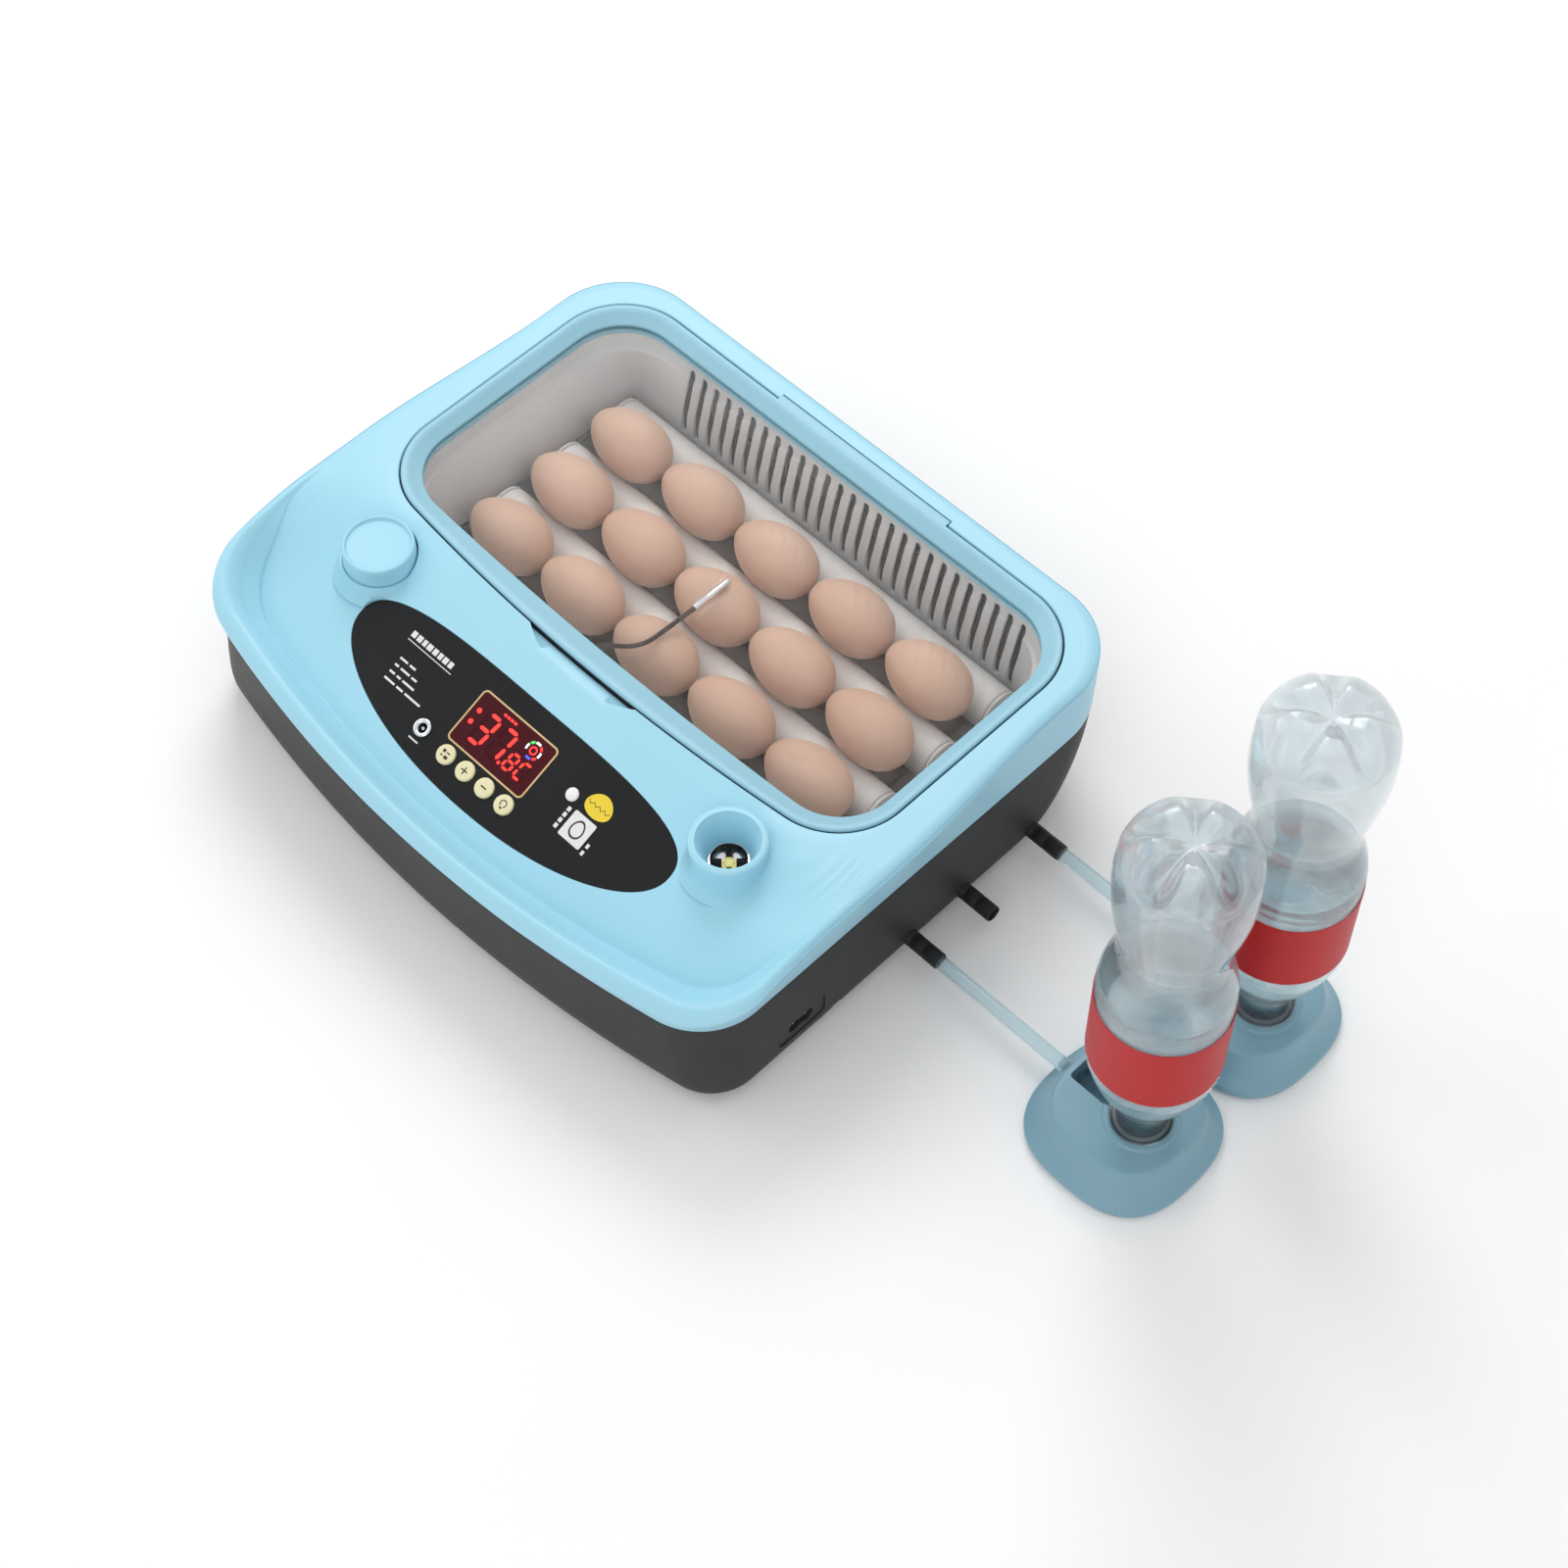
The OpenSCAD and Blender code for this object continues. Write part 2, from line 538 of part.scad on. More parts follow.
// Lit segments of a three-digit reading with a unit letter
seg_on = [[1, 1, 1, 1, 0, 0, 1], [1, 1, 1, 0, 0, 0, 0], [1, 1, 1, 1, 1, 1, 1], [1, 0, 0, 1, 1, 1, 0]];
module segment(x, y, w, d) {
    translate([x - w / 2, y - d / 2]) square([w, d]);
}
module digit(s, w, h) {
    t = w * 0.22;
    if (s[0] == 1) segment(0, h / 2, w * 0.66, t);
    if (s[1] == 1) segment(w / 2, h / 4, t, h * 0.36);
    if (s[2] == 1) segment(w / 2, -h / 4, t, h * 0.36);
    if (s[3] == 1) segment(0, -h / 2, w * 0.66, t);
    if (s[4] == 1) segment(-w / 2, -h / 4, t, h * 0.36);
    if (s[5] == 1) segment(-w / 2, h / 4, t, h * 0.36);
    if (s[6] == 1) segment(0, 0, w * 0.66, t);
}
module display_digits() {
    color([1, 0.10, 0.06]) on_slope(-4, -101.2) translate([0, 0, 0.27]) linear_extrude(height = 0.1) {
        translate([-14.5, 0]) digit(seg_on[0], 7.5, 15);
        translate([-1.5, 0]) digit(seg_on[1], 7.5, 15);
        translate([5.5, -7.5]) circle(r = 0.9, $fn = 24);
        translate([11, -3.6]) digit(seg_on[2], 5, 9);
        translate([19.5, -3.6]) digit(seg_on[3], 5, 9);
        for (y = [4, -4]) translate([-23, y]) circle(r = 1.1, $fn = 24);
    }
}

module dc_jack() {
    color(steel) on_slope(-46.5, -120.7) {
        difference() {
            union() {
                translate([0, 0, -0.05]) cylinder(h = 1.6, r = 5.3, $fn = 48);
                translate([0, 0, -8]) cylinder(h = 8, r = 3.9, $fn = 48);
            }
            translate([0, 0, -7]) cylinder(h = 12, r = 2.9, $fn = 48);
        }
        translate([0, 0, -7.5]) cylinder(h = 8, r = 0.9, $fn = 24);
    }
}

module indicator_lamp() {
    color([0.95, 0.95, 0.93]) on_slope(45.8, -97.9) {
        translate([0, 0, -6]) cylinder(h = 6.5, r = 2.4, $fn = 48);
        translate([0, 0, -0.05]) cylinder(h = 0.9, r = 3.8, $fn = 48);
    }
}

module button(i) {
    color(cream) on_slope(-25.5 + button_pitch * i, -123) {
        translate([0, 0, -5.4]) cylinder(h = 6.2, r = button_d / 2, $fn = 64);
        translate([0, 0, 0.8]) cylinder(h = 0.5, r1 = button_d / 2, r2 = button_d / 2 - 0.5, $fn = 64);
    }
}

module candler_reflector() {
    color(dark_grey) translate([cup[0], cup[1], 84.5]) {
        difference() {
            cylinder(h = 6, r = 10.6, $fn = 64);
            translate([0, 0, 1.6]) cylinder(h = 6, r = 9.2, $fn = 64);
        }
        for (a = [45:90:315]) rotate([0, 0, a]) translate([5.2, -1.1, 1.5]) cube([4.2, 2.2, 3.5]);
    }
}

module candler_led() {
    color([0.98, 0.90, 0.45]) translate([cup[0], cup[1], 86.1]) {
        translate([-3.4, -3.4, 0]) cube([6.8, 6.8, 1.6]);
        translate([0, 0, 1.5]) cylinder(h = 1.6, r1 = 3, r2 = 2.2, $fn = 40);
    }
}

module power_inlet() {
    color(dark_grey) translate([188.5, -85, 25]) rotate([90, 0, 90]) difference() {
        linear_extrude(height = 10.9) union() {
            square([25.4, 17.4], center = true);
            square([33.4, 9.4], center = true);
            for (x = [-12.7, 12.7], z = [-4.7, 4.7]) translate([x, z]) circle(r = 4, $fn = 32);
        }
        translate([0, 0, 1.6]) linear_extrude(height = 12) union() {
            for (x = [-4.4, 4.4]) translate([x, 0]) circle(r = 4.3, $fn = 40);
            square([8.8, 6.4], center = true);
        }
    }
}

module inlet_pins() {
    color(steel) for (s = [-1, 1]) along_x(190.1, 198, 1.2, -85 + 4.4 * s, 25);
}

module port_sleeves() {
    color(rubber_black) for (y = port_y) difference() {
        along_x(180, 222.5, 4.75, y, port_z);
        along_x(179, 210, 3.3, y, port_z);
        along_x(209, 224, hose_d / 2 - 0.02, y, port_z);
    }
}

stand_x = 351.5;
bottle_x = 361;
stand_y = [-4, stand_pitch - 4];
function hose_pts(y) = [for (i = [0:6]) [212 + (316 - 212) * i / 6, y, port_z]];

module hose(y) {
    color([0.75, 0.86, 0.88]) cord(hose_pts(y), hose_d / 2, 12);
}

module stand(y) {
    color(stand_blue) difference() {
        union() {
            loft([
                lift(squircle(stand_x, y, 45.6, 44.9, 2.7, 80), 0),
                lift(squircle(stand_x, y, 47, 46.3, 2.7, 80), 1.5),
                lift(squircle(stand_x, y, 47, 46.3, 2.7, 80), 4.5),
                lift(squircle(stand_x, y, 45, 44.3, 2.7, 80), 6.5),
                lift(squircle(stand_x + 0.5, y, 37.8, 37, 2.6, 80), 21),
                lift(squircle(stand_x + 0.5, y, 36.2, 35.4, 2.6, 80), 24.5),
                lift(squircle(stand_x + 0.5, y, 34.8, 34, 2.6, 80), 25.5)
            ]);
            translate([bottle_x, y, 20]) cylinder(h = 7, r = 19.5, $fn = 72);
        }
        // Bottle socket, supply trough, hose hole and hollow underside
        translate([bottle_x, y, 6]) cylinder(h = 30, r = 15.9, $fn = 72);
        box(stand_x - 32.5, bottle_x - 10, y - 8, y + 8, 7, 40);
        along_x(stand_x - 60, stand_x - 30, hose_d / 2 + 0.02, y, port_z);
        translate([0, 0, -1]) linear_extrude(height = 4) polygon(squircle(stand_x, y, 41, 40.3, 2.7, 48));
    }
}

// Inverted bottle, mouth down; height and radius of its outside from neck to foot
bottle_rows = [[10, 12.4], [27.1, 12.4], [27.3, 17.4], [29.3, 17.4], [29.7, 13.8], [40, 14.2], [50, 16.6], [58, 20],
               [66, 24], [75, 28], [85, 31.3], [94, 33.2], [100, 33.9], [152, 33.9], [160, 33.8], [170, 32.4],
               [180, 29.4], [188, 27.3], [195, 26.8], [203, 27.2], [214, 29.2], [228, 32], [242, 33.8], [258, 34],
               [268, 33.2], [276, 30.8], [282, 27], [285, 22.5], [285.6, 19], [284, 14], [280, 7], [279, 0]];
module bottle(y) {
    s = bottle_d / 68;
    t = 0.9;
    n = len(bottle_rows);
    color([0.86, 0.93, 0.94, 0.35]) translate([bottle_x, y, 0]) rotate_extrude($fn = 96) polygon(concat(
        [for (p = bottle_rows) [p[1] * s, p[0]]],
        [[0, 279 - t], [6.6 * s, 280 - t], [13.5 * s, 284 - t - 0.4], [19 * s, 285.6 - 1.4], [22 * s, 285 - 1.6]],
        [for (k = [n - 6:-1:0]) let (p = bottle_rows[k], q = k == 2 || k == 3 ? 12.4 : p[1]) [q * s - t, p[0] - (k > n - 9 ? 0.4 : 0)]]
    ));
}

module cap(y) {
    color([0.85, 0.88, 0.90]) translate([bottle_x, y, 0]) difference() {
        cylinder(h = 26.8, r = 15.2, $fn = 72);
        translate([0, 0, 9.6]) cylinder(h = 20, r = 12.6, $fn = 64);
        translate([0, 0, -1]) cylinder(h = 20, r = 3, $fn = 32);
        translate([0, 0, -1]) cylinder(h = 8, r = 20, $fn = 32);
    }
}

module label(y) {
    color([0.75, 0.20, 0.20]) translate([bottle_x, y, 101]) difference() {
        cylinder(h = 50, r = bottle_d / 2 + 0.3, $fn = 96);
        translate([0, 0, -1]) cylinder(h = 52, r = bottle_d / 2 - 0.05, $fn = 96);
    }
}

module rubber_feet() {
    color(rubber_black) for (x = [-1, 1]) {
        translate([x * 176, -104, 0]) cylinder(h = 3, r = 7.5, $fn = 48);
        translate([x * 172, 90, 0]) cylinder(h = 3, r = 7.5, $fn = 48);
    }
}

module case_screws() {
    color(steel) for (b = boss_at) translate([b[0], b[1], 0]) {
        translate([0, 0, 56.4]) cylinder(h = 2.5, r = 3.2, $fn = 40);
        translate([0, 0, 58.5]) cylinder(h = 19, r = 1.4, $fn = 32);
    }
}

// Probe lead: out of the liner front, over the front egg and on to the middle row
lead_pts = [[-22, -38, 78], [-21, -33, 79.5], [-16.5, -26, 84.5], [-8.3, -18.8, 87.2], [-0.8, -12.6, 88], [3.6, -4.6, 88],
            [4.6, 7.7, 87.6], [4.9, 18.6, 87.6], [5.4, 29.4, 87.7]];
module probe_wire() {
    color(rubber_black) cord(smooth(lead_pts, 3), 1.3, 8);
}
module probe_tip() {
    color(steel) translate([5.4, 29.5, 87.7]) rotate([-90, 0, 0]) cylinder(h = 26.4, r = 1.9, $fn = 40);
}

module hinge_pin() {
    color(steel) along_x(hinge_x0 - 2.8, hinge_x1 + 2.8, 0.8, 157.2, hinge_z);
}

module lid_frame() {
    color(frame_blue) difference() {
        union() {
            hoop([
                lift(outline(180.7, -46, 154.8, 43, 43, 8), 97.4),
                lift(outline(180.7, -46, 154.8, 43, 43, 8), deck_z + 0.1),
                lift(outline(180.1, -45.4, 154.2, 42.4, 42.4, 8), deck_z + 0.7),
                lift(outline(178.3, -43.4, 152.4, 41, 41, 7.5), deck_z + 0.7),
                lift(outline(171.2, -31.4, 145.2, 35, 35, 4), 100.9),
                lift(outline(170.6, -30.8, 144.6, 34.4, 34.4, 4), 100.2),
                lift(outline(170.6, -30.8, 144.6, 34.4, 34.4, 4), 99.3),
                lift(outline(174.4, -34.6, 148.4, 38, 38, 4), 99.3),
                lift(outline(174.4, -34.6, 148.4, 38, 38, 4), 97.4)
            ]);
            along_x(hinge_x0, hinge_x1, 2, 157.2, hinge_z);
            box(hinge_x0, hinge_x1, 152.5, 157.2, hinge_z - 1.9, hinge_z + 1.9);
        }
        along_x(hinge_x0 - 5, hinge_x1 + 5, 0.86, 157.2, hinge_z);
    }
}

module lid_window() {
    color([0.88, 0.94, 0.96, 0.3]) translate([0, 0, 97.4]) linear_extrude(height = 1.8)
        polygon(outline(174.2, -34.4, 148.2, 37.8, 37.8, 4));
}

module lid_gasket() {
    color(rubber_black) difference() {
        union() {
            translate([0, 0, 96.3]) linear_extrude(height = 1.1) polygon(outline(181.2, -46.5, 155.3, 43.5, 43.5, 8));
            translate([0, 0, 97.3]) linear_extrude(height = 6.5) difference() {
                polygon(outline(181.2, -46.5, 155.3, 43.5, 43.5, 8));
                polygon(outline(180.75, -46.05, 154.85, 43.05, 43.05, 8));
            }
        }
        translate([0, 0, 90]) linear_extrude(height = 7.4) polygon(outline(177.2, -41.6, 151.2, 40, 40, 7));
        box(hinge_x0 - 1, hinge_x1 + 1, 150, 160, 99, 110);
    }
}

module vent_cap() {
    color(shell_blue) translate([vent[0], vent[1], 0]) {
        difference() {
            union() {
                translate([0, 0, 97.9]) cylinder(h = 10.6, r1 = 20.2, r2 = 19.8, $fn = 96);
                translate([0, 0, 108.5]) cylinder(h = 1.5, r1 = 19.8, r2 = 18.8, $fn = 96);
            }
            translate([0, 0, 108.2]) cylinder(h = 3, r = 17.4, $fn = 96);
            translate([0, 0, 96]) cylinder(h = 9.5, r = 17.6, $fn = 96);
        }
        difference() {
            translate([0, 0, 86]) cylinder(h = 20, r = 9, $fn = 64);
            translate([0, 0, 85]) cylinder(h = 18, r = 7, $fn = 64);
        }
    }
}

base_shell();
top_shell();
chamber_liner();
water_tray();
roller_frame();
turner_motor();
heater();
fan_housing();
control_board();
panel_overlay();
display_bezel();
display_lens();
display_digits();
dc_jack();
indicator_lamp();
candler_reflector();
candler_led();
power_inlet();
inlet_pins();
port_sleeves();
hose(stand_y[0]);  // hose_front
hose(stand_y[1]);  // hose_rear
stand(stand_y[0]);  // stand_front
stand(stand_y[1]);  // stand_rear
rubber_feet();
case_screws();
probe_wire();
probe_tip();
hinge_pin();
roller(roller_y[0]);  // roller_1
roller(roller_y[1]);  // roller_2
roller(roller_y[2]);  // roller_3
roller(roller_y[3]);  // roller_4
axle(roller_y[0]);  // axle_1
axle(roller_y[1]);  // axle_2
axle(roller_y[2]);  // axle_3
axle(roller_y[3]);  // axle_4
idler(row_y[0]);  // idler_1
idler(row_y[1]);  // idler_2
idler(row_y[2]);  // idler_3
pinion();
egg_row(row_y[0]);  // eggs_front
egg_row(row_y[1]);  // eggs_middle
egg_row(row_y[2]);  // eggs_back
lid_frame();
lid_window();
lid_gasket();
vent_cap();
button(0);  // button_1
button(1);  // button_2
button(2);  // button_3
button(3);  // button_4
fan_rotor();
bottle(stand_y[0]);  // bottle_front
bottle(stand_y[1]);  // bottle_rear
cap(stand_y[0]);  // cap_front
cap(stand_y[1]);  // cap_rear
label(stand_y[0]);  // label_front
label(stand_y[1]);  // label_rear
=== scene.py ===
import bmesh
import bpy
import math
import random
from mathutils import Matrix, Vector


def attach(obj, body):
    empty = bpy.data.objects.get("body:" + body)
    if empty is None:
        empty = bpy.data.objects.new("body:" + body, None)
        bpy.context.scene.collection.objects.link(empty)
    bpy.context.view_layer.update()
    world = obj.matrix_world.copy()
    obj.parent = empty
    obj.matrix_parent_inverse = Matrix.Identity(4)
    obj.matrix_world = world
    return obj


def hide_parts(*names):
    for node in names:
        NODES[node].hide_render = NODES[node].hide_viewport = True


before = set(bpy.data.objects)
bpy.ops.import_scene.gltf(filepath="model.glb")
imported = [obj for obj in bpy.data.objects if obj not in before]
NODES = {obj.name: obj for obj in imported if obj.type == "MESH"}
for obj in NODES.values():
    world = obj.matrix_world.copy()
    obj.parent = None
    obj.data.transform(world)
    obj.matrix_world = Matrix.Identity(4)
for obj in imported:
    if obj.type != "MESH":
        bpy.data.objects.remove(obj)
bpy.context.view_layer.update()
MM = 0.001
# The top: a flat deck that bends down into the front slope
GRADE = 0.44
SLOPE = math.atan(GRADE)
DECK = 105.0
BEND = -55.0
RND = random.Random(7)

# ------------------------------------------------------------------ camera
CAM_POS = Vector((0.75331, -0.64384, 1.42739))
CAM_AZ, CAM_EL, CAM_ROLL = math.radians(45.31), math.radians(56.365), math.radians(-0.4927)


def make_camera():
    cam = bpy.data.cameras.new("camera")
    cam.sensor_width = 36.0
    cam.lens = 71.435
    cam.clip_start = 0.01
    ob = bpy.data.objects.new("camera", cam)
    bpy.context.scene.collection.objects.link(ob)
    back = Vector((math.sin(CAM_AZ) * math.cos(CAM_EL), -math.cos(CAM_AZ) * math.cos(CAM_EL),
                   math.sin(CAM_EL)))
    right = (-back).cross(Vector((0, 0, 1))).normalized()
    up = right.cross(-back)
    c, s = math.cos(CAM_ROLL), math.sin(CAM_ROLL)
    r2, u2 = right * c + up * s, up * c - right * s
    m = Matrix((r2, u2, back)).transposed().to_4x4()
    m.translation = CAM_POS
    ob.matrix_world = m
    bpy.context.scene.camera = ob


make_camera()


# --------------------------------------------------------------- materials
def new_mat(name):
    m = bpy.data.materials.new(name)
    m.use_nodes = True
    nt = m.node_tree
    return m, nt, nt.nodes["Principled BSDF"]


def coords(nt, scale):
    tc = nt.nodes.new("ShaderNodeTexCoord")
    mp = nt.nodes.new("ShaderNodeMapping")
    mp.inputs["Scale"].default_value = (scale, scale, scale)
    nt.links.new(tc.outputs["Object"], mp.inputs["Vector"])
    return mp.outputs["Vector"]


def noise(nt, scale, detail=3.0, rough=0.5):
    n = nt.nodes.new("ShaderNodeTexNoise")
    n.inputs["Scale"].default_value = scale
    n.inputs["Detail"].default_value = detail
    n.inputs["Roughness"].default_value = rough
    nt.links.new(coords(nt, 1.0), n.inputs["Vector"])
    return n.outputs["Fac"]


def ramp(nt, fac, stops):
    r = nt.nodes.new("ShaderNodeValToRGB")
    el = r.color_ramp.elements
    while len(el) < len(stops):
        el.new(0.5)
    for e, (p, c) in zip(el, stops):
        e.position = p
        e.color = (*c, 1.0)
    nt.links.new(fac, r.inputs["Fac"])
    return r.outputs["Color"]


def remap(nt, fac, lo, hi):
    r = nt.nodes.new("ShaderNodeMapRange")
    r.inputs["To Min"].default_value = lo
    r.inputs["To Max"].default_value = hi
    nt.links.new(fac, r.inputs["Value"])
    return r.outputs["Result"]


def bump(nt, bsdf, fac, strength, dist):
    b = nt.nodes.new("ShaderNodeBump")
    b.inputs["Strength"].default_value = strength
    b.inputs["Distance"].default_value = dist
    nt.links.new(fac, b.inputs["Height"])
    nt.links.new(b.outputs["Normal"], bsdf.inputs["Normal"])


def shade(c, k):
    return tuple(min(1.0, v * k) for v in c)


def plastic(name, color, rough, vary=0.05, grain=900.0, depth=0.00002, strength=0.25, coat=0.0, spec=0.5,
            sub=0.0):
    m, nt, b = new_mat(name)
    fac = noise(nt, 14.0, 4.0)
    nt.links.new(ramp(nt, fac, [(0.3, shade(color, 1 - vary)), (0.7, shade(color, 1 + vary))]),
                 b.inputs["Base Color"])
    nt.links.new(remap(nt, noise(nt, 60.0, 3.0), rough - 0.05, rough + 0.05), b.inputs["Roughness"])
    b.inputs["Specular IOR Level"].default_value = spec
    b.inputs["Coat Weight"].default_value = coat
    b.inputs["Coat Roughness"].default_value = 0.15
    if sub:
        b.inputs["Subsurface Weight"].default_value = sub
        b.inputs["Subsurface Radius"].default_value = (0.004, 0.003, 0.002)
        b.inputs["Subsurface Scale"].default_value = 1.0
    bump(nt, b, noise(nt, grain, 2.0), strength, depth)
    return m


def metal(name, color, rough):
    m, nt, b = new_mat(name)
    b.inputs["Metallic"].default_value = 1.0
    nt.links.new(ramp(nt, noise(nt, 120.0, 4.0), [(0.3, shade(color, 0.9)), (0.7, shade(color, 1.06))]),
                 b.inputs["Base Color"])
    nt.links.new(remap(nt, noise(nt, 400.0, 2.0), rough - 0.06, rough + 0.08), b.inputs["Roughness"])
    bump(nt, b, noise(nt, 700.0, 2.0), 0.15, 0.00002)
    return m


def clear(name, color, rough, alpha, ior=1.45, trans=1.0, wave=0.0):
    m, nt, b = new_mat(name)
    nt.links.new(ramp(nt, noise(nt, 30.0, 3.0), [(0.2, shade(color, 0.97)), (0.8, color)]),
                 b.inputs["Base Color"])
    nt.links.new(remap(nt, noise(nt, 90.0, 3.0), max(0.0, rough - 0.02), rough + 0.03),
                 b.inputs["Roughness"])
    b.inputs["Transmission Weight"].default_value = trans
    b.inputs["IOR"].default_value = ior
    b.inputs["Alpha"].default_value = alpha
    if wave:
        bump(nt, b, noise(nt, 55.0, 2.0), wave, 0.0004)
    return m


def glow(name, color, power):
    m, nt, b = new_mat(name)
    nt.links.new(ramp(nt, noise(nt, 900.0, 2.0), [(0.3, shade(color, 0.85)), (0.7, color)]),
                 b.inputs["Base Color"])
    b.inputs["Emission Color"].default_value = (*color, 1.0)
    b.inputs["Emission Strength"].default_value = power
    b.inputs["Roughness"].default_value = 0.35
    return m


def egg_material():
    m, nt, b = new_mat("eggshell")
    big = ramp(nt, noise(nt, 22.0, 3.0), [(0.3, (0.58, 0.375, 0.275)), (0.7, (0.64, 0.43, 0.325))])
    fine = ramp(nt, noise(nt, 420.0, 3.0, 0.6), [(0.36, (0.86, 0.83, 0.80)), (0.52, (1, 1, 1))])
    mix = nt.nodes.new("ShaderNodeMix")
    mix.data_type = "RGBA"
    mix.blend_type = "MULTIPLY"
    mix.inputs["Factor"].default_value = 0.55
    nt.links.new(big, mix.inputs["A"])
    nt.links.new(fine, mix.inputs["B"])
    nt.links.new(mix.outputs["Result"], b.inputs["Base Color"])
    b.inputs["Roughness"].default_value = 0.48
    b.inputs["Specular IOR Level"].default_value = 0.35
    b.inputs["Subsurface Weight"].default_value = 0.12
    b.inputs["Subsurface Radius"].default_value = (0.006, 0.003, 0.002)
    b.inputs["Subsurface Scale"].default_value = 1.0
    bump(nt, b, noise(nt, 1500.0, 3.0), 0.3, 0.00004)
    return m


M = {
    "blue": plastic("shell_plastic", (0.35, 0.66, 0.80), 0.40, 0.012, 1500, 0.000015, 0.2, spec=0.45),
    "rim": plastic("lid_plastic", (0.30, 0.56, 0.68), 0.38, 0.02, 1500, 0.000015, 0.2, spec=0.4),
    "dark": plastic("base_plastic", (0.034, 0.034, 0.035), 0.5, 0.08, 1300, 0.00003, 0.4, spec=0.22),
    "liner": plastic("liner_plastic", (0.58, 0.575, 0.57), 0.5, 0.06, 900, 0.00003, 0.3),
    "roller": plastic("roller_plastic", (0.80, 0.785, 0.77), 0.45, 0.04, 300, 0.00004, 0.3),
    "tray": plastic("tray_plastic", (0.010, 0.010, 0.011), 0.55, 0.1, spec=0.15),
    "foil": plastic("panel_foil", (0.016, 0.016, 0.017), 0.45, 0.1, 2500, 0.00001, 0.2, spec=0.12),
    "cream": plastic("cream_plastic", (0.78, 0.72, 0.45), 0.35, 0.03, spec=0.3),
    "gold": plastic("bezel_gold", (0.66, 0.47, 0.24), 0.4, 0.05, spec=0.3),
    "white": plastic("white_print", (0.74, 0.74, 0.73), 0.5, 0.04, spec=0.2),
    "lamp": plastic("lamp_lens", (0.82, 0.82, 0.80), 0.3, 0.03, coat=0.2),
    "yellow": plastic("yellow_print", (0.80, 0.60, 0.05), 0.45, 0.06, spec=0.2),
    "ink": plastic("dark_print", (0.05, 0.045, 0.04), 0.5, 0.1, spec=0.2),
    "rubber": plastic("black_rubber", (0.012, 0.012, 0.013), 0.5, 0.15, 700, 0.00004, 0.4, spec=0.3),
    "stand": plastic("stand_plastic", (0.195, 0.355, 0.440), 0.38, 0.02, 1300, 0.00002, 0.2, spec=0.45),
    "label": plastic("label_film", (0.46, 0.020, 0.022), 0.42, 0.04, 500, 0.00002, 0.2, spec=0.15),
    "cap": plastic("cap_plastic", (0.13, 0.145, 0.155), 0.24, 0.03, spec=0.5),
    "board": plastic("solder_mask", (0.02, 0.14, 0.06), 0.35, 0.1),
    "nylon": plastic("gear_nylon", (0.70, 0.68, 0.60), 0.4, 0.05),
    "steel": metal("bright_steel", (0.60, 0.61, 0.63), 0.28),
    "chrome": metal("polished_steel", (0.80, 0.81, 0.83), 0.14),
    "egg": egg_material(),
    "window": clear("window_acrylic", (0.96, 0.99, 1.0), 0.03, 0.07),
    "bottle": clear("bottle_plastic", (0.78, 0.88, 0.92), 0.0, 0.5, 1.45, 1.0, 0.12),
    "water": clear("water", (0.60, 0.80, 0.85), 0.0, 0.55, 1.33),
    "hose": clear("hose_vinyl", (0.62, 0.82, 0.88), 0.03, 0.8, 1.45, 0.85),
    "display": plastic("display_filter", (0.060, 0.006, 0.010), 0.3, 0.08, spec=0.12),
    "off": plastic("display_unlit", (0.046, 0.005, 0.008), 0.4, 0.08, spec=0.1),
    "red": glow("lit_red", (1.0, 0.030, 0.022), 1.3),
    "green": glow("lit_green", (0.05, 0.8, 0.12), 0.6),
    "lit": glow("lit_white", (0.95, 0.95, 0.95), 0.5),
    "violet": glow("lit_blue", (0.08, 0.08, 0.9), 0.8),
    "phosphor": glow("led_phosphor", (0.95, 0.80, 0.30), 0.25),
}


# ---------------------------------------------------------------- geometry
def xform(geo, m):
    v, f = geo
    return [tuple(m @ Vector(p)) for p in v], f


def at(x, y, z):
    return Matrix.Translation((x, y, z))


def along_x(x, y, z):
    return at(x, y, z) @ Matrix.Rotation(math.pi / 2, 4, "Y")


def along_y(x, y, z):
    return at(x, y, z) @ Matrix.Rotation(-math.pi / 2, 4, "X")


def on_slope(x, y):
    return at(x, y, DECK + (y - BEND) * GRADE) @ Matrix.Rotation(SLOPE, 4, "X")


def join(*geos):
    vs, fs = [], []
    for v, f in geos:
        k = len(vs)
        vs += list(v)
        fs += [tuple(i + k for i in face) for face in f]
    return vs, fs


def lathe(profile, n=96, closed=False):
    """Turns (radius, height) pairs about Z. A point of radius 0 becomes a pole."""
    vs, fs, rows = [], [], []
    for r, z in profile:
        if r < 1e-6:
            rows.append([len(vs)] * n)
            vs.append((0, 0, z))
        else:
            rows.append(list(range(len(vs), len(vs) + n)))
            vs += [(r * math.cos(2 * math.pi * i / n), r * math.sin(2 * math.pi * i / n),
                    z) for i in range(n)]
    pairs = list(zip(rows, rows[1:])) + ([(rows[-1], rows[0])] if closed else [])
    for a, b in pairs:
        for i in range(n):
            j = (i + 1) % n
            quad = []
            for q in (a[i], a[j], b[j], b[i]):
                if q not in quad:
                    quad.append(q)
            if len(quad) > 2:
                fs.append(tuple(quad))
    return vs, fs


def rod(r, z0, z1, n):
    return lathe([(0, z0), (r, z0), (r, z1), (0, z1)], n)


